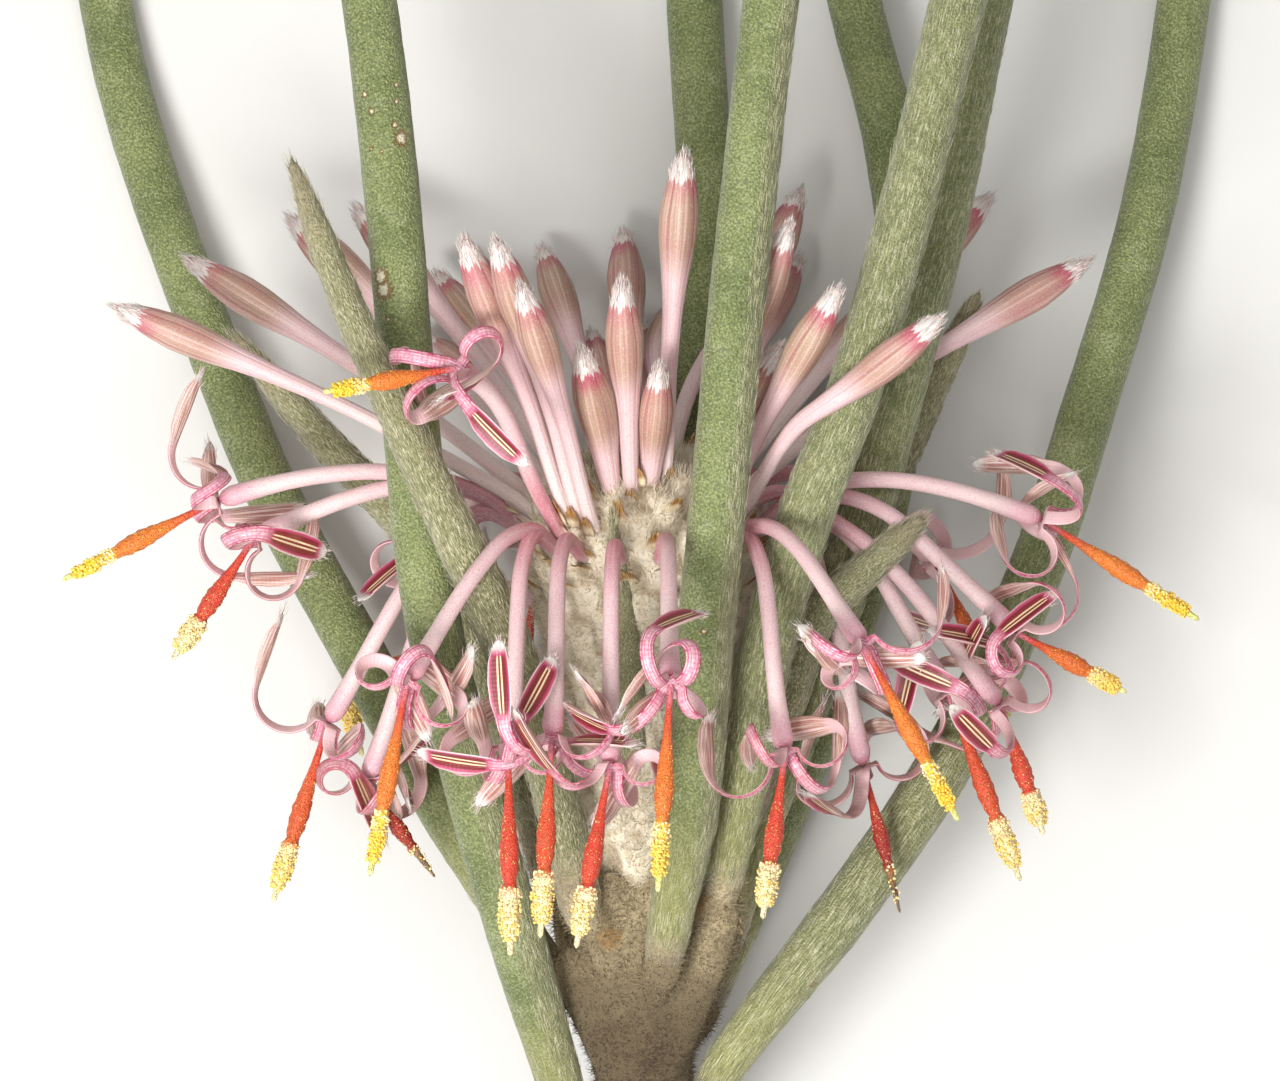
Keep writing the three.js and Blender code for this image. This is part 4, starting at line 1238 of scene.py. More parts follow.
class FLOWER_OT_long_leaves(bpy.types.Operator):
    """Rolls each long round leaf, with its silver streaks and hairs"""

    bl_idname = "flower.long_leaves"
    bl_label = "Long Leaves"

    SEED = 11
    AROUND = 30
    RINGS = 160
    SINK = 1.3
    TURN = -math.pi / 2
    PLACES = [0, 0.02, 0.05, 0.15, 0.93, 0.975, 0.995, 1]
    RADII = [0.3, 0.5, 0.64, LEAF_RADIUS, LEAF_RADIUS, 0.5, 0.12, 0]
    PHASES = 6.28
    UNEVEN = 0.012
    FLATNESS = 0.02
    ROUGHNESS = 0.012
    # How far the felt and the foot's tint reach from the root, in millimetres.
    FELT_ENDS = (1.5, 3.6)
    FOOT_ENDS = (2.5, 8.0)
    FOOT_SILK = 0.9
    SILK_FADES_OVER = 0.22
    HAIRS = 2400
    HAIR_SHARES = (0.03, 0.93)
    HAIR_SINK = 0.985
    HAIR_LIFT = (0.02, 0.16)
    HAIR_STRAY = 0.09
    HAIR_LENGTHS = (0.5, 1.1)
    HAIR_BOW = 0.04

    def execute(self, context):
        sizes, colours = context.scene.flower_sizes, context.scene.flower_colours
        rng = np.random.default_rng(self.SEED)
        lines = {
            name: leaf_line(controls, self.RINGS, self.SINK)
            for name, controls in LONG_LEAVES.items()
        }
        marks = [on_top(lines[name], mark) for name, group in PITS.items() for mark in group]
        skin = leaf_finish(colours, "leaf_skin", marks)
        silk = hair_finish("leaf_silk", colours.leaf_green, colours.silk, 0.4)
        master = sheet("leaf_sheet", self.AROUND, self.RINGS)
        fur = Fur()
        for name, line in lines.items():
            length = line_length(line.at)
            wobble = rng.uniform(0, self.PHASES, 4)

            def wide(share, angle):
                radius = np.interp(share, self.PLACES, self.RADII)
                uneven = self.UNEVEN * np.sin(share * 34 + wobble[0] + np.sin(angle + wobble[1]))
                flat = self.FLATNESS * np.cos(2 * angle + wobble[2] + share * 4)
                ridges = np.sin(9 * angle + 411 * share)
                rough = self.ROUGHNESS * ridges * np.sin(13 * angle - 733 * share)
                return radius * (1 + uneven + flat + rough)

            reach, strength, one_sided = SILK[name]

            def silky(share, angle):
                upwards = np.clip((reach - share) / self.SILK_FADES_OVER + 0.3, 0, 1)
                side = np.cos(angle + self.TURN) if one_sided else 1.0
                foot = np.interp(share * length, self.FOOT_ENDS, [self.FOOT_SILK, 0.0])
                return np.maximum(upwards * strength * np.clip(side / 0.4 + 0.1, 0, 1), foot)

            piece = roll(another(master), line, wide, turn=self.TURN, silk=silky,
                         felted=fading(length, *self.FELT_ENDS), foot=fading(length, *self.FOOT_ENDS))
            piece = joined([piece], name + "_skin")
            settle(piece, "leaf", skin, name)
            share = rng.uniform(*self.HAIR_SHARES, self.HAIRS)
            angle = rng.uniform(0, math.tau, self.HAIRS)
            lies = rng.uniform(0, 1, self.HAIRS) < silky(share, angle)
            share, angle = share[lies], angle[lies] + self.TURN
            outward, along = line.directions(share, angle)
            fur.add(
                line.skin(share, angle, wide(share, angle - self.TURN) * self.HAIR_SINK),
                combed(rng, outward, along, self.HAIR_LIFT, self.HAIR_STRAY),
                rng.uniform(*self.HAIR_LENGTHS, len(share)) * sizes.silk_length,
            )
        bpy.data.objects.remove(master)
        settle(fur.grown("leaf_silk", rng, sizes.hair_radius, self.HAIR_BOW), "young_leaf", silk)
        return {"FINISHED"}


class FLOWER_OT_young_leaves(bpy.types.Operator):
    """Rolls the short silky leaves, each with a felted tip that ends in a tuft"""

    bl_idname = "flower.young_leaves"
    bl_label = "Young Leaves"

    SEED = 23
    AROUND = 22
    RINGS = 80
    SINK = 1.3
    TURN = -math.pi / 2
    PLACES = [0, 0.07, 0.45, 0.9, 0.985, 1]
    RADII = [0.35, YOUNG_FOOT_RADIUS, YOUNG_MIDDLE_RADIUS, 0.46, 0.2, 0]
    FLATNESS = 0.05
    UNEVEN = 0.02
    FELT_ENDS = (1.8, 4.5)
    TIP_FELT = (0.8, 0.96)
    TIP_GREY = 0.55
    FOOT_TINT = 0.4
    HAIRS = 1900
    HAIR_SHARES = (0.03, 0.97)
    TUFT = 90
    TUFT_SHARES = (0.93, 1.0)
    HAIR_SINK = 0.98
    HAIR_LIFT = (0.02, 0.22)
    HAIR_STRAY = 0.12
    HAIR_LENGTHS = (0.3, 0.8)
    HAIR_BOW = 0.05

    def execute(self, context):
        sizes, colours = context.scene.flower_sizes, context.scene.flower_colours
        rng = np.random.default_rng(self.SEED)
        skin = leaf_finish(colours, "young_leaf_skin", young=True)
        silk = hair_finish("young_silk", colours.young_green, colours.silk, 0.4)
        master = sheet("young_sheet", self.AROUND, self.RINGS)
        fur = Fur()
        for name, controls in YOUNG_LEAVES.items():
            line = leaf_line(controls, self.RINGS, self.SINK)
            foot_felt = fading(line_length(line.at), *self.FELT_ENDS)

            def radius(share):
                return np.interp(share, self.PLACES, self.RADII)

            def wide(share, angle):
                flat = 1 + self.FLATNESS * np.cos(2 * angle)
                return radius(share) * (flat + self.UNEVEN * np.sin(share * 50))

            def felted(share, angle):
                tip_felt = np.interp(share, self.TIP_FELT, [0.0, self.TIP_GREY])
                return np.maximum(foot_felt(share, angle), tip_felt)

            piece = roll(another(master), line, wide, turn=self.TURN, silk=1.0, felted=felted,
                         foot=self.FOOT_TINT)
            piece = joined([piece], name + "_skin")
            settle(piece, "young_leaf", skin, name)
            share = np.concatenate([rng.uniform(*self.HAIR_SHARES, self.HAIRS),
                                    rng.uniform(*self.TUFT_SHARES, self.TUFT)])
            angle = rng.uniform(0, math.tau, len(share))
            outward, along = line.directions(share, angle)
            fur.add(
                line.skin(share, angle, radius(share) * self.HAIR_SINK),
                combed(rng, outward, along, self.HAIR_LIFT, self.HAIR_STRAY),
                rng.uniform(*self.HAIR_LENGTHS, len(share)) * sizes.silk_length,
            )
        bpy.data.objects.remove(master)
        tufts = fur.grown("young_leaf_silk", rng, sizes.hair_radius, self.HAIR_BOW)
        settle(tufts, "young_leaf", silk)
        return {"FINISHED"}


def closed(share):
    """Draws both ends of a rolled sheet in to a point."""
    return ((share > 0) & (share < 1)).astype(float)


class FLOWER_OT_stem(bpy.types.Operator):
    """Melts the stem, its lobes and the leaf cushions together and covers them with felt"""

    bl_idname = "flower.stem"
    bl_label = "Felted Stem"

    SEED = 31
    AROUND = 40
    RINGS = 90
    TOP_ALONG = -9.4
    SHARES = [0, 0.3, 0.6, 0.75, 0.9, 1.0]
    RADII = [1.36, 1.33, 1.46, 1.8, 2.0, 1.85]
    LUMPS = (0.04, 0.03)
    LEAF_SCARS = 0.06
    LOBE_STEPS = 20
    # Each leaf stands on a cushion that runs down into the stem along a ramp.
    CUSHION = 2.9
    CUSHION_SINK = 1.3
    CUSHION_STEPS = 20
    CUSHION_AROUND = 18
    CUSHION_RINGS = 30
    CUSHION_PLACES = [0, 0.45, 0.58, 0.75, 0.89, 1.0]
    CUSHION_RADII = [0.25, 0.6, 0.6, 0.62, 0.56, 0.35]
    LEAF_LINE_RINGS = 120
    RAMP = 2.4
    RAMP_SINK = 0.35
    GRAIN = 0.13
    SOFTENING = 9
    HAIRS = 24000
    HAIR_STRAY = 0.6
    HAIR_RISE = 0.25
    HAIR_SINK = 0.02
    HAIR_LENGTHS = (0.5, 1.4)
    TIP_TUFT = 0.9
    # Hairs darken below this y, over this length, both in millimetres before the shift.
    DARKENS_BELOW = -13.0
    DARKENS_OVER = 2.5

    def execute(self, context):
        sizes, colours = context.scene.flower_sizes, context.scene.flower_colours
        rng = np.random.default_rng(self.SEED)
        parts = [self.branchlet()]
        parts += [self.lobe(*row) for row in LOBES]
        parts += [self.cushion(row) for row in (*LONG_LEAVES.values(), *YOUNG_LEAVES.values())]
        piece = joined(parts, "stem_skin")
        melt = piece.modifiers.new("melt", "REMESH")
        melt.voxel_size = self.GRAIN * MM
        bpy.ops.object.modifier_apply(modifier=melt.name)
        soften = piece.modifiers.new("soften", "SMOOTH")
        soften.iterations = self.SOFTENING
        bpy.ops.object.modifier_apply(modifier=soften.name)
        settle(joined([piece], "stem_skin"), "stem_felt", felt_finish(colours), "stem")
        self.add_felt(piece, rng, sizes, colours)
        return {"FINISHED"}

    def branchlet(self):
        """The stem itself, up to the foot of the cone."""
        top = head_point(0, self.TOP_ALONG, 0)
        line = Line(spaced(catmull_rom([*STEM_LINE, tuple(top)]), even(self.RINGS)))

        def wide(share, angle):
            lumps = (self.LUMPS[0] * np.sin(3 * angle + share * 17)
                     + self.LUMPS[1] * np.sin(5 * angle - share * 31))
            scars = self.LEAF_SCARS * np.maximum(0, np.sin(angle * 2 + share * 26)) ** 6
            return np.interp(share, self.SHARES, self.RADII) * (1 + lumps + scars) * closed(share)

        return roll(sheet("stem_sheet", self.AROUND, self.RINGS), line, wide)

    def lobe(self, controls, half_width, half_depth):
        """A flat felted lobe at the top of the stem."""
        line = Line(spaced(catmull_rom(controls), even(self.LOBE_STEPS)))

        def wide(share, angle):
            return half_width * np.sqrt(np.clip(1 - share**4, 0, 1)) * closed(share)

        def deep(share, angle):
            return wide(share, angle) * half_depth / half_width

        return roll(sheet("lobe_sheet", self.LOBE_STEPS, self.LOBE_STEPS), line, wide, deep)

    def cushion(self, controls):
        """The felted cushion under one leaf's foot, with its ramp down the stem."""
        whole = leaf_line(controls, self.LEAF_LINE_RINGS, self.CUSHION_SINK)
        share = self.CUSHION / line_length(whole.at)
        places = even(self.CUSHION_STEPS) * share
        points = [Vector(p) for p in spaced([Vector(p) for p in whole.at], places)]
        ramp = points[0] - AXIS * self.RAMP - outwards(points[0]) * self.RAMP_SINK
        foot = Line(spaced([ramp, *points], even(self.CUSHION_RINGS)))

        def swollen(share, angle):
            return np.interp(share, self.CUSHION_PLACES, self.CUSHION_RADII) * closed(share)

        return roll(sheet("cushion_sheet", self.CUSHION_AROUND, self.CUSHION_RINGS), foot, swollen)

    def add_felt(self, skin, rng, sizes, colours):
        """Short felt all over the stem, longer and paler at the lobes' ends and dark low down."""
        roots, normals = sown(skin, rng, self.HAIRS)
        ways = normals + rng.normal(0, self.HAIR_STRAY, roots.shape) + np.array(AXIS) * self.HAIR_RISE
        ends = np.array([controls[-1] for controls, _, _ in LOBES])
        off = np.linalg.norm(roots[:, None] - ends, axis=2).min(axis=1)
        tuft = np.clip(1.4 - off / self.TIP_TUFT, 0, 1)
        lengths = rng.uniform(*self.HAIR_LENGTHS, self.HAIRS) * sizes.felt_length * (1 + tuft)
        low = np.clip((self.DARKENS_BELOW - roots[:, 1]) / self.DARKENS_OVER, 0, 1)
        tone = np.clip(rng.uniform(0, 1, self.HAIRS) ** 2 * 0.8 + low * 0.75 - tuft, 0, 1)
        fur = hairs("stem_felt_hairs", rng, roots - normals * self.HAIR_SINK, ways, lengths,
                    sizes.hair_radius, tone=tone)
        settle(fur, "stem_felt", hair_finish("felt_hair", colours.felt_shade, colours.felt, 0.8,
                                             colours.felt_low))


class FLOWER_OT_cone(bpy.types.Operator):
    """Builds the woolly cone with its hairy bracts, papery scales and wool"""

    bl_idname = "flower.cone"
    bl_label = "Woolly Cone"

    SEED = 41
    AROUND = 110
    RINGS = 120
    # Woolly tongues in a spiral down the cone, from this far along its axis over this length.
    TONGUES = 170
    TONGUES_FROM = 2.3
    TONGUES_OVER = 12.2
    TONGUE_HALF_LENGTH = 0.95
    TONGUE_HALF_WIDTH = 0.62
    TONGUE_LIFT = 0.42
    WOOL = 24500
    WOOL_SHARES = (0.14, 0.995)
    WOOL_SINK = 0.02
    WOOL_LENGTHS = (0.3, 1.1)
    CROWN = (0.75, 0.95)
    CROWN_LEAN = 1.2
    CROWN_DUSK = 0.4
    BRACT_FOOT_RADII = (0.46, 0.62, 0.62)
    BRACT_PLACES = [0, 0.5, 0.85, 1]
    BRACT_TAPER = [1.0, 0.95, 0.55, 0]
    BRACT_AROUND = 18
    BRACT_RINGS = 36
    BRACT_HAIRS = 500
    BRACT_HAIR_LIFT = (0.05, 0.5)
    BRACT_HAIR_LENGTHS = (0.25, 0.6)
    BRACT_TUFT_FROM = 0.7
    BRACT_HAIR_BOW = 0.1
    LOOSE_SCALES = 46
    LOOSE_FROM = 2.2
    LOOSE_OVER = 3.6
    SCALE_WIDTH = 0.48
    SCALE_LENGTH = 0.85
    SCALE_SIZES = (0.75, 1.15)
    SCALE_THICKNESS = 0.05

    def tongues(self, along, angle, radius):
        """How high the woolly tongues stand at a place, and how near it is to a tongue's tip."""
        n = np.arange(self.TONGUES)
        middles = self.TONGUES_FROM - self.TONGUES_OVER * n / self.TONGUES
        round_gap = (angle[:, None] - n * GOLDEN_ANGLE + math.pi) % math.tau - math.pi
        side = round_gap * radius[:, None] / self.TONGUE_HALF_WIDTH
        up = (along[:, None] - middles) / self.TONGUE_HALF_LENGTH
        rise = np.interp(up, [-1.2, 0.45, 0.85], [0.0, 1.0, 0.0])
        height = np.clip(1 - side**2, 0, 1) * rise
        best = height.argmax(axis=1)
        rows = np.arange(len(along))
        return height[rows, best], up[rows, best] * (height[rows, best] > 0.05)

    def execute(self, context):
        sizes, colours = context.scene.flower_sizes, context.scene.flower_colours
        rng = np.random.default_rng(self.SEED)
        profile = spaced([Vector((r, v, 0)) for r, v in CONE_PROFILE], even(self.RINGS))
        # Each station is moved on a hair's breadth, so that no two lie in one place.
        line = Line([head_point(0, v, 0) + AXIS * 1e-4 * i for i, (_, v, _) in enumerate(profile)])

        def lumps(share, angle):
            along = np.interp(share, even(self.RINGS), profile[:, 1])
            radius = np.interp(share, even(self.RINGS), profile[:, 0])
            return (*self.tongues(along, angle, radius), radius)

        def wide(share, angle):
            height, _, radius = lumps(share, angle)
            return radius + (height - 0.5) * self.TONGUE_LIFT * np.clip(radius, 0, 1)

        cone = roll(sheet("cone_sheet", self.AROUND, self.RINGS), line, wide,
                    lift=lambda s, a: lumps(s, a)[0], tip=lambda s, a: lumps(s, a)[1])
        cone = joined([cone], "cone_body")
        settle(cone, "florets", cone_finish(colours), "flower_head")
        self.add_bracts(colours, rng, sizes)
        self.add_scales(colours, rng)

        share = rng.uniform(*self.WOOL_SHARES, self.WOOL)
        angle = rng.uniform(0, math.tau, self.WOOL)
        outward, along = line.directions(share, angle)
        crown = np.interp(share, self.CROWN, [0.0, self.CROWN_LEAN])
        roots = line.skin(share, angle, wide(share, angle) - self.WOOL_SINK)
        ways = outward * 0.55 + along * (rng.normal(0.5, 0.5, self.WOOL) + crown)[:, None]
        ways += np.cross(along, outward) * rng.normal(0, 0.6, self.WOOL)[:, None]
        lengths = rng.uniform(*self.WOOL_LENGTHS, self.WOOL) * sizes.wool_length
        # The wool's hairs darken in the hollows between the tongues and on the crown: partly their own
        # grey-brown silk, partly painted shade.
        tone = 0.5 - lumps(share, angle)[0] * 1.3 + rng.normal(0, 0.15, self.WOOL)
        tone = np.clip(tone + crown * self.CROWN_DUSK, 0, 1)
        wool = hairs("cone_wool_hairs", rng, roots, ways, lengths, sizes.hair_radius, tone=tone)
        settle(wool, "florets", hair_finish("wool_hair", colours.wool_shade, colours.wool, 0.7,
                                            colours.hollow_silk_and_shade))
        return {"FINISHED"}

    def add_bracts(self, colours, rng, sizes):
        """The slim hairy bract at the front and the blunt ones at the foot, which end in a tuft."""
        parts, fur = [], Fur()
        for i, (controls, foot) in enumerate(zip(BRACTS, self.BRACT_FOOT_RADII)):
            line = Line(spaced(catmull_rom(controls), even(self.BRACT_RINGS)))

            def wide(share, angle):
                return foot * np.interp(share, self.BRACT_PLACES, self.BRACT_TAPER)

            flat = sheet("bract_sheet", self.BRACT_AROUND, self.BRACT_RINGS)
            parts.append(roll(flat, line, wide, silk=0.9, felted=0.0, foot=0.5))
            share = rng.uniform(0, 1, self.BRACT_HAIRS)
            angle = rng.uniform(0, math.tau, self.BRACT_HAIRS)
            outward, along = line.directions(share, angle)
            tuft = 1 + (i > 0) * (share > self.BRACT_TUFT_FROM)
            fur.add(
                line.skin(share, angle, wide(share, angle) * 0.97),
                along + outward * rng.uniform(*self.BRACT_HAIR_LIFT, self.BRACT_HAIRS)[:, None],
                rng.uniform(*self.BRACT_HAIR_LENGTHS, self.BRACT_HAIRS) * tuft,
            )
        piece = joined(parts, "cone_bracts")
        settle(piece, "young_leaf", leaf_finish(colours, "bract_skin", young=True))
        silk = fur.grown("bract_silk", rng, sizes.hair_radius, self.BRACT_HAIR_BOW)
        settle(silk, "young_leaf", hair_finish("bract_hair", colours.young_green, colours.silk, 0.45))

    def add_scales(self, colours, rng):
        """Papery scales: one under each floret's foot, and loose ones in a spiral between them."""
        origins, across, through, along = [], [], [], []
        master = self.one_scale()
        for start, way, back in self.scale_places(rng):
            way = way.normalized()
            side = way.cross(back).normalized()
            size = rng.uniform(*self.SCALE_SIZES)
            origins.append(start)
            across.append(side * self.SCALE_WIDTH * size)
            through.append(way.cross(side) * -self.SCALE_WIDTH * size)
            along.append(way * self.SCALE_LENGTH * size)
        rows = [np.array([p[:] for p in group]) for group in (origins, across, through, along)]
        piece = scatter(master, "cone_scales", *rows)
        settle(piece, "florets", bract_finish(colours))

    def one_scale(self):
        """A thin cupped scale of height 1 with a ragged end."""
        deselect()
        bpy.ops.mesh.primitive_grid_add(
            x_subdivisions=4, y_subdivisions=5, size=1, location=(0, 0, 0.5),
            rotation=(math.pi / 2, 0, 0))
        bpy.ops.object.transform_apply(location=True, rotation=True, scale=True)
        master = bpy.context.object
        shape = corners(master)
        reach = shape[:, 2].copy()
        ragged = np.interp(shape[:, 0], [-0.5, -0.25, 0, 0.25, 0.5], [-0.2, 0.1, -0.08, 0.16, -0.1])
        shape[:, 0] *= np.interp(reach, [0, 0.4, 0.8, 1], [0.8, 1.0, 0.8, 0.6])
        shape[:, 1] = 0.06 * reach**2 + 0.35 * shape[:, 0] ** 2
        shape[:, 2] += ragged * (reach > 0.9)
        master.data.vertices.foreach_set("co", shape.ravel())
        pick(master)
        thicken = master.modifiers.new("thickness", "SOLIDIFY")
        thicken.thickness = self.SCALE_THICKNESS
        bpy.ops.object.modifier_apply(modifier=thicken.name)
        return master

    def scale_places(self, rng):
        """Each scale's foot, the way it points and its back."""
        places = []
        tubes = [bud_line_and_shade(tip) for tip in BUD_TIPS] + [plan.tube for plan in flower_plans()]
        for dense in tubes:
            start, ahead = dense[len(dense) // 8], dense[len(dense) // 6]
            way = (ahead - start).normalized()
            below = (outwards(start) - AXIS * 0.8).normalized()
            below = (below - way * way.dot(below)).normalized()
            places.append((start + below * 0.28 - way * 0.4, way + below * 0.05, below))
        for i in range(self.LOOSE_SCALES):
            v = self.LOOSE_FROM - self.LOOSE_OVER * i / self.LOOSE_SCALES
            turn = i * GOLDEN_ANGLE
            out = Vector((math.sin(turn), 0, 0)) + OUT * math.cos(turn)
            lift = 0.9 + 0.9 * max(0.0, (v + 1) / 3.4)
            way = out + AXIS * lift + Vector(rng.normal(0, 0.15, 3))
            places.append((head_point(0, v, 0) + out * (cone_radius(v) - 0.1), way, out))
        return places


def bud_line_and_shade(tip):
    """A bud's line from inside the cone to its tip, bent clear of the leaves."""
    x, y, length, side = tip
    end, root = end_of(x, y, length, side, BUD_LOWEST_ROOT, BUD_FOLLOW)
    end.z = max(end.z, BUD_LOWEST_TIP)
    sunk = root - outwards(root) * ROOT_SINK - AXIS * ROOT_SINK
    rise = root.lerp(end, BUD_RISE_AT) + AXIS * length * BUD_RISE
    coarse = spaced(catmull_rom([sunk, root, rise, end]), even(BUD_LINE_STEPS))
    return catmull_rom(bent_clear(coarse, TUBE_RADIUS + GAP))


class FLOWER_OT_buds(bpy.types.Operator):
    """Models one closed bud, copies it to every place and adds the white tufts"""

    bl_idname = "flower.buds"
    bl_label = "Closed Buds"

    SEED = 53
    AROUND = 20
    RINGS = 46
    # Rings lie closer together on the club than on the tube.
    RING_CROWDING = 1.35
    # Half the width of a bud at these distances back from its tip, as a share of its widest.
    CLUB_BACK = [0, 0.12, 0.4, 0.8, 1.2, 1.9, 2.6, 3.3, 4.0, 5.0, 7.0]
    CLUB_SHARE = [0, 0.26, 0.5, 0.7, 0.84, 1.0, 0.97, 0.84, 0.68, 0.53, 0.42]
    SIZES = (0.92, 1.04)
    # A bud shorter than this has a smaller club.
    FULL_LENGTH = 6.6
    LOBE_BACK = [0.5, 1.5, 3.5, 5]
    LOBE_SHARE = [0, 1, 0.8, 0]
    LOBE_RELIEF = 0.035
    TUFT = 130
    TUFT_REACH = 0.8
    TUFT_LEAN = (-0.15, 0.25)
    TUFT_LENGTHS = (0.25, 0.8)
    TUFT_SINK = 0.95
    TUFT_BOW = 0.08
    TUFT_THICKNESS = 1.5

    def execute(self, context):
        sizes, colours = context.scene.flower_sizes, context.scene.flower_colours
        rng = np.random.default_rng(self.SEED)
        master = sheet("bud_sheet", self.AROUND, self.RINGS)
        shares = 1 - (1 - even(self.RINGS)) ** self.RING_CROWDING
        parts, fur = [], Fur()
        for tip in BUD_TIPS:
            dense = bud_line_and_shade(tip)
            length = line_length([p[:] for p in dense])
            line = Line(spaced(dense, shares))
            club = min(1.0, length / self.FULL_LENGTH)
            size = sizes.bud_radius * rng.uniform(*self.SIZES) * (0.55 + 0.45 * club)

            def back(share):
                return (1 - np.interp(share, even(self.RINGS), shares)) * length

            def radius(share):
                return size * np.interp(back(share) / club, self.CLUB_BACK, self.CLUB_SHARE)

            def wide(share, angle):
                lobes = np.interp(back(share) / club, self.LOBE_BACK, self.LOBE_SHARE)
                return radius(share) * (1 + self.LOBE_RELIEF * lobes * np.cos(TEPALS * angle))

            parts.append(roll(another(master), line, wide, back=lambda s, a: back(s) / club,
                              shade=rng.uniform(0, 1)))
            share = 1 - rng.uniform(0.0, self.TUFT_REACH, self.TUFT) * club / length
            at = np.interp(share, shares, even(self.RINGS))
            angle = rng.uniform(0, math.tau, self.TUFT)
            outward, along = line.directions(at, angle)
            fur.add(
                line.skin(at, angle, radius(at) * self.TUFT_SINK),
                along - outward * rng.uniform(*self.TUFT_LEAN, self.TUFT)[:, None],
                rng.uniform(*self.TUFT_LENGTHS, self.TUFT) * sizes.bud_tuft * (0.5 + 0.5 * club),
            )
        bpy.data.objects.remove(master)
        settle(joined(parts, "buds"), "florets", bud_finish(colours))
        tufts = fur.grown("bud_tufts", rng, sizes.hair_radius * self.TUFT_THICKNESS, self.TUFT_BOW)
        settle(tufts, "florets", hair_finish("tuft_hair", colours.tepal_pale_and_highlight, colours.tuft_white_and_glint))
        return {"FINISHED"}


class FlowerPlan:
    """Where one opened flower's tube, style and tepals run."""

    def __init__(self, row, draw):
        x, y, tip_x, tip_y, side, self.age = row
        mouth, root = end_of(x, y, FLOWER_REACH, side, FLOWER_LOWEST_ROOT, FLOWER_FOLLOW)
        mouth.z = max(mouth.z, UNDERSIDE_ROOM)
        mouth = clear_of_leaves(clear_of_leaves(mouth, CURL_ROOM), CURL_ROOM)
        mouth.z = max(mouth.z, UNDERSIDE_ROOM)
        out = outwards(root)
        self.mouth = mouth
        self.forward = ((mouth - root).normalized() - AXIS * TUBE_DROOP).normalized()
        coarse = spaced(bezier(
            root, root + out * TUBE_LEAVES_OUT + AXIS * TUBE_LEAVES_UP,
            mouth - self.forward * TUBE_ARRIVES, mouth,
        ), even(TUBE_STEPS))
        bent = bent_clear(coarse, TUBE_RADIUS + GAP, kept=1)
        self.tube = catmull_rom([root - out * ROOT_SINK, *bent])
        tip = mouth + Vector((tip_x - x, tip_y - y, 0)) + outwards(mouth) * STYLE_LIFT
        tip.z = max(tip.z, LOWEST_STYLE_TIP)
        self.style = [bent[-1], *(
            clear_of_leaves(mouth.lerp(tip, t), STYLE_ROOM + GAP) for t in STYLE_SHARES
        )]
        first = self.forward.cross(UP).normalized()
        second = self.forward.cross(first)
        start = draw() * math.pi
        self.tepals = []
        for i in range(TEPALS):
            angle = start + i * math.tau / TEPALS + (draw() - 0.5) * TEPAL_SPREAD
            outward = first * math.cos(angle) + second * math.sin(angle)
            turn = CURL_TURNS[0] + (CURL_TURNS[1] - CURL_TURNS[0]) * draw()
            drift = -CURL_DRIFT if draw() < 0.5 else CURL_DRIFT
            self.tepals.append((outward, turn, drift))

    def tepal_line(self, tepal, rings):
        """The line of one tepal, from the mouth round the strap's curl to the end of the limb."""
        outward, turn, drift = tepal
        width = outward.cross(self.forward).normalized()
        radius = min(max(STRAP_LENGTH / turn, CURL_RADII[0]), CURL_RADII[1])
        middle = self.mouth + outward * (TEPAL_START + radius)
        points, spokes = [], []
        for t in even(rings):
            angle = math.pi - turn * t
            spoke = outward * math.cos(angle) + self.forward * math.sin(angle)
            points.append(middle + spoke * radius + width * drift * t)
            spokes.append(spoke)
        ahead = spokes[-1].cross(width).normalized() + width * (drift / STRAP_LENGTH)
        strap = points[-1]
        for t in even(rings)[1:]:
            points.append(strap + ahead * LIMB_LENGTH * t)
            spokes.append(spokes[rings])
        points = [clear_of_leaves(p, TEPAL_ROOM) for p in points]
        for point in points:
            point.z = max(point.z, LOWEST_TEPAL)
        claw = [self.mouth.lerp(points[0], t) for t in (0.15, 0.6)]
        return Line(spaced([*claw, *points], even(2 * rings)), across=width)


def flower_plans():
    draw = seeded_draw(DRAW_SEED)
    return [FlowerPlan(row, draw) for row in OPEN_FLOWERS]


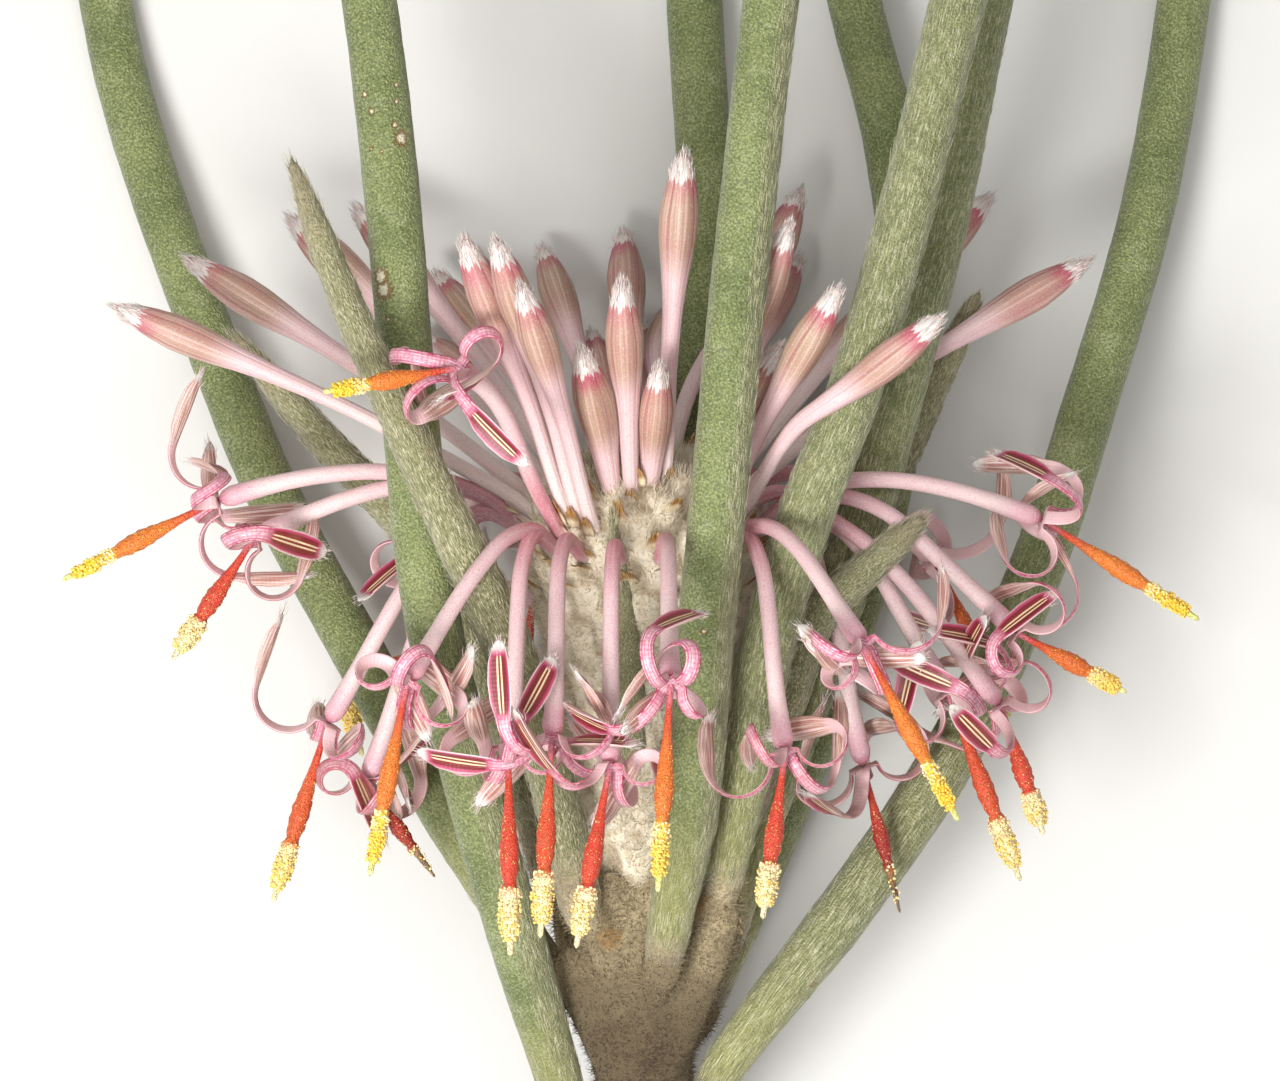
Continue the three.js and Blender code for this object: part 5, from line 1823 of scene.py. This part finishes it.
class FLOWER_OT_open_flowers(bpy.types.Operator):
    """Builds the arched tubes, curled tepals, styles and pollen of the opened flowers"""

    bl_idname = "flower.open_flowers"
    bl_label = "Opened Flowers"

    SEED = 67
    TUBE_AROUND = 16
    TUBE_RINGS = 44
    TUBE_PLACES = [0, 0.004, 0.3, 0.8, 0.97, 1.0]
    TUBE_SHARE = [0, 0.85, 0.95, 1.05, 1.3, 0]
    TEPAL_AROUND = 16
    STRAP_RINGS = 24
    TEPAL_SIZES = (0.9, 1.08)
    TIP_HAIRS = 26
    TIP_HAIR_REACH = 0.6
    TIP_HAIR_LIFT = (0, 0.4)
    TIP_HAIR_LENGTHS = (0.2, 0.42)
    TIP_HAIR_BOW = 0.1
    STYLE_AROUND = 14
    STYLE_RINGS = 56
    STYLE_GRAIN = 0.07
    # The age from which a style has withered.
    WITHERED = 0.9
    GRAINS = 245
    WITHERED_GRAINS = 25
    GRAIN_SHARES = (0.665, 0.925)
    GRAIN_SIZES = (0.6, 1.2)
    GRAIN_STRETCH = 1.2
    GRAIN_LIFT = (0, 0.07)
    # Small beads that glint on the spindle below the brush.
    GLINTS = 60
    GLINT_SHARES = (0.3, 0.72)
    GLINT_SIZE = 0.42
    BRUSH_FROM = 0.66
    LIFTED_FROM = 0.7
    # The brush of a fresh style is slimmer than an older one's.
    BRUSH_AGES = (0.1, 0.4)
    BRUSH_FULLNESS = (0.75, 1.15)
    LIMB_WIDTH = 0.76
    # Distance back from the tip of a tepal of that width, and half its width, half its thickness
    # and how far its edges stand up round the anther.
    LIMB_BACK = [0, 0.06, 0.25, 0.7, 1.3, 1.9, 2.3, 2.9]
    LIMB_HALF = [0, 0.1, 0.22, 0.34, 0.38, 0.35, 0.26, 0.22]
    LIMB_THICK = [0, 0.04, 0.06, 0.08, 0.09, 0.08, 0.06, 0.055]
    LIMB_CUP = [0, 0, 0.03, 0.16, 0.2, 0.14, 0.03, -0.02]
    STYLE_PLACES = [
        0, 0.12, 0.24, 0.36, 0.48, 0.58, 0.65, 0.67, 0.7, 0.73, 0.8, 0.88, 0.92, 0.93, 0.99, 1.0]
    STYLE_RADII = [
        0.1, 0.095, 0.13, 0.21, 0.29, 0.27, 0.18, 0.25, 0.25, 0.22, 0.25, 0.2, 0.14, 0.09, 0.085, 0]
    BRUSH = slice(7, 12)
    WITHERED_RADII = [
        0.09, 0.085, 0.11, 0.18, 0.25, 0.2, 0.13, 0.17, 0.14, 0.1, 0.08, 0.07, 0.06, 0.05, 0.04, 0]

    def execute(self, context):
        sizes, colours = context.scene.flower_sizes, context.scene.flower_colours
        rng = np.random.default_rng(self.SEED)
        plans = flower_plans()
        self.add_tubes(plans, sizes, colours)
        self.add_tepals(plans, sizes, colours, rng)
        self.add_styles(plans, sizes, colours, rng)
        return {"FINISHED"}

    def add_tubes(self, plans, sizes, colours):
        master = sheet("tube_sheet", self.TUBE_AROUND, self.TUBE_RINGS)

        def wide(share, angle):
            return sizes.tube_radius * np.interp(share, self.TUBE_PLACES, self.TUBE_SHARE)

        parts = [
            roll(another(master), Line(spaced(plan.tube, even(self.TUBE_RINGS))), wide)
            for plan in plans
        ]
        bpy.data.objects.remove(master)
        settle(joined(parts, "flower_tubes"), "florets", tube_finish(colours))

    def add_tepals(self, plans, sizes, colours, rng):
        rings = 2 * self.STRAP_RINGS
        master = sheet("tepal_sheet", self.TEPAL_AROUND, rings)
        parts, roots, ways = [], [], []
        for plan in plans:
            for tepal in plan.tepals:
                line = plan.tepal_line(tepal, self.STRAP_RINGS)
                length = line_length(line.at)
                broad = sizes.tepal_width / self.LIMB_WIDTH * rng.uniform(*self.TEPAL_SIZES)

                def back(share):
                    return (1 - share) * length

                def wide(share, angle):
                    return broad * np.interp(back(share), self.LIMB_BACK, self.LIMB_HALF)

                def thick(share, angle):
                    return np.interp(back(share), self.LIMB_BACK, self.LIMB_THICK)

                def cup(share, angle):
                    return -broad * np.interp(back(share), self.LIMB_BACK, self.LIMB_CUP)

                parts.append(roll(another(master), line, wide, thick, cup,
                                  back=lambda s, a: back(s), age=plan.age))
                share = 1 - rng.uniform(0.0, self.TIP_HAIR_REACH, self.TIP_HAIRS) / length
                angle = rng.uniform(0, math.tau, self.TIP_HAIRS)
                roots.append(line.skin(share, angle, wide(share, angle), thick(share, angle)))
                outward, along = line.directions(share, angle)
                lift = rng.uniform(*self.TIP_HAIR_LIFT, self.TIP_HAIRS)
                ways.append(along + outward * lift[:, None])
        bpy.data.objects.remove(master)
        settle(joined(parts, "tepals"), "florets", tepal_finish(colours))
        roots, ways = np.vstack(roots), np.vstack(ways)
        lengths = rng.uniform(*self.TIP_HAIR_LENGTHS, len(roots))
        tufts = hairs("tepal_tufts", rng, roots, ways, lengths, sizes.hair_radius, self.TIP_HAIR_BOW)
        settle(tufts, "florets", hair_finish("tepal_hair", colours.tepal_pale_and_highlight, colours.tuft_white_and_glint))

    def add_styles(self, plans, sizes, colours, rng):
        master = sheet("style_sheet", self.STYLE_AROUND, self.STYLE_RINGS)
        parts, origins, ages, spent, scale = [], [], [], [], []
        for plan in plans:
            line = Line(spaced(catmull_rom(plan.style), even(self.STYLE_RINGS)))
            withered = plan.age >= self.WITHERED
            profile = np.array(self.WITHERED_RADII if withered else self.STYLE_RADII)
            profile[self.BRUSH] *= np.interp(plan.age, self.BRUSH_AGES, self.BRUSH_FULLNESS)

            def wide(share, angle):
                radius = np.interp(share, self.STYLE_PLACES, profile)
                grain = self.STYLE_GRAIN * np.interp(share, [0.25, 0.4], [0, 1])
                return radius * (1 + grain * np.sin(5 * angle + share * 90))

            parts.append(roll(another(master), line, wide, age=plan.age))
            brush = self.WITHERED_GRAINS if withered else self.GRAINS
            share = np.concatenate([rng.uniform(*self.GRAIN_SHARES, brush),
                                    rng.uniform(*self.GLINT_SHARES, self.GLINTS)])
            angle = rng.uniform(0, math.tau, len(share))
            in_brush = share > self.BRUSH_FROM
            size = np.where(in_brush, rng.uniform(*self.GRAIN_SIZES, len(share)), self.GLINT_SIZE)
            radius = np.interp(share, self.STYLE_PLACES, profile)
            lift = rng.uniform(*self.GRAIN_LIFT, len(share)) * (share > self.LIFTED_FROM)
            origins.append(line.skin(share, angle, radius + lift))
            ages.append(np.full(len(share), plan.age))
            spent.append(np.clip((0.8 - share) / 0.08, 0, 1) * in_brush * 0.8)
            scale.append(size)
        bpy.data.objects.remove(master)
        settle(joined(parts, "styles"), "florets", style_finish(colours))
        origins, ages = np.vstack(origins), np.concatenate(ages)
        size = sizes.grain_radius * np.concatenate(scale)[:, None]
        deselect()
        bpy.ops.mesh.primitive_ico_sphere_add(subdivisions=1, radius=1)
        axes = [unit(rng.normal(size=origins.shape)) for _ in range(2)]
        across = axes[0]
        through = unit(np.cross(axes[0], axes[1]))
        along = np.cross(across, through)
        grains = scatter(bpy.context.object, "pollen", origins, across * size, through * size,
                         along * size * self.GRAIN_STRETCH, age=ages, spent=np.concatenate(spent))
        settle(grains, "florets", pollen_finish(colours))


class FLOWER_OT_stage(bpy.types.Operator):
    """Adds the plain floor, the soft lights and the camera over the flower"""

    bl_idname = "flower.stage"
    bl_label = "Stage"

    FLOOR_DROP = 0.05 * MM
    FIBRE_GREY = (0.6, 0.6, 0.6)
    KEY_PLACE = (-0.07, 0.05, 0.37)
    FILL_PLACE = (0.12, 0.0, 0.33)
    LIGHT_SPREAD = 0.28
    NEAR_PLACE = (-0.04, -0.05, 0.12)
    NEAR_SPREAD = 0.05
    LIGHTS_AIM = Vector((0, 0, 0.01))
    SENSOR = 36.0
    NEAREST_SEEN = 0.01

    def execute(self, context):
        settings = context.scene.flower_stage
        self.add_floor(settings)
        self.add_light("key_light", self.KEY_PLACE, settings.key_power, self.LIGHT_SPREAD)
        self.add_light("fill_light", self.FILL_PLACE, settings.fill_power, self.LIGHT_SPREAD)
        self.add_light("near_light", self.NEAR_PLACE, settings.near_power, self.NEAR_SPREAD)
        self.add_sky(context, settings)
        self.add_camera(context, settings)
        context.scene.view_settings.view_transform = "Standard"
        return {"FINISHED"}

    def add_floor(self, settings):
        deselect()
        bpy.ops.mesh.primitive_plane_add(size=settings.floor_size, location=(0, 0, -self.FLOOR_DROP))
        floor = bpy.context.object
        floor.name = "floor"
        f = Finish("floor_paper")
        fibre = f.noise(f.millimetres(), 0.6, 4.0)
        shade = f.mix(fibre.between(0.3, 0.7) * 0.05, settings.floor_colour, self.FIBRE_GREY)
        floor.data.materials.append(f.surface(
            Base_Color=shade, Roughness=0.9, Normal=f.bump(fibre, 0.02, 0.2),
            Specular_IOR_Level=0.1))

    def add_light(self, name, place, power, spread):
        deselect()
        bpy.ops.object.light_add(type="AREA", location=place)
        lamp = bpy.context.object
        lamp.name = name
        lamp.data.energy = power
        lamp.data.shape = "DISK"
        lamp.data.size = spread
        aim = self.LIGHTS_AIM - Vector(place)
        lamp.rotation_euler = aim.to_track_quat("-Z", "Y").to_euler()

    def add_sky(self, context, settings):
        world = bpy.data.worlds.new("soft_sky")
        world.use_nodes = True
        background = world.node_tree.nodes["Background"]
        background.inputs["Color"].default_value = (1.0, 1.0, 1.0, 1.0)
        background.inputs["Strength"].default_value = settings.sky
        context.scene.world = world

    def add_camera(self, context, settings):
        bpy.ops.object.camera_add(
            location=(SHIFT[0], SHIFT[1], settings.view_plane + settings.camera_height))
        camera = bpy.context.object
        camera.name = "camera"
        camera.data.sensor_width = self.SENSOR
        camera.data.lens = self.SENSOR * settings.camera_height / settings.view_width
        camera.data.clip_start = self.NEAREST_SEEN
        context.scene.camera = camera


class FLOWER_PT_panel(bpy.types.Panel):
    """Lists the steps that dress the flower"""

    bl_label = "Cone Flower Head"
    bl_idname = "FLOWER_PT_panel"
    bl_space_type = "VIEW_3D"
    bl_region_type = "UI"
    bl_category = "Cone Flower"

    def draw(self, context):
        for step in STEPS:
            self.layout.operator(step.bl_idname)
        for group in (context.scene.flower_sizes, context.scene.flower_colours,
                      context.scene.flower_stage):
            box = self.layout.box()
            for name in group.__annotations__:
                box.prop(group, name)


STEPS = (
    FLOWER_OT_stage, FLOWER_OT_long_leaves, FLOWER_OT_young_leaves, FLOWER_OT_stem,
    FLOWER_OT_cone, FLOWER_OT_buds, FLOWER_OT_open_flowers,
)
CLASSES = (FlowerSizes, FlowerColours, StageSettings, *STEPS, FLOWER_PT_panel)


def register():
    for item in CLASSES:
        bpy.utils.register_class(item)
    bpy.types.Scene.flower_sizes = bpy.props.PointerProperty(type=FlowerSizes)
    bpy.types.Scene.flower_colours = bpy.props.PointerProperty(type=FlowerColours)
    bpy.types.Scene.flower_stage = bpy.props.PointerProperty(type=StageSettings)


def unregister():
    del bpy.types.Scene.flower_sizes
    del bpy.types.Scene.flower_colours
    del bpy.types.Scene.flower_stage
    for item in reversed(CLASSES):
        bpy.utils.unregister_class(item)


def main():
    register()
    bpy.ops.flower.stage()
    bpy.ops.flower.long_leaves()
    bpy.ops.flower.young_leaves()
    bpy.ops.flower.stem()
    bpy.ops.flower.cone()
    bpy.ops.flower.buds()
    bpy.ops.flower.open_flowers()


if __name__ == "__main__":
    main()
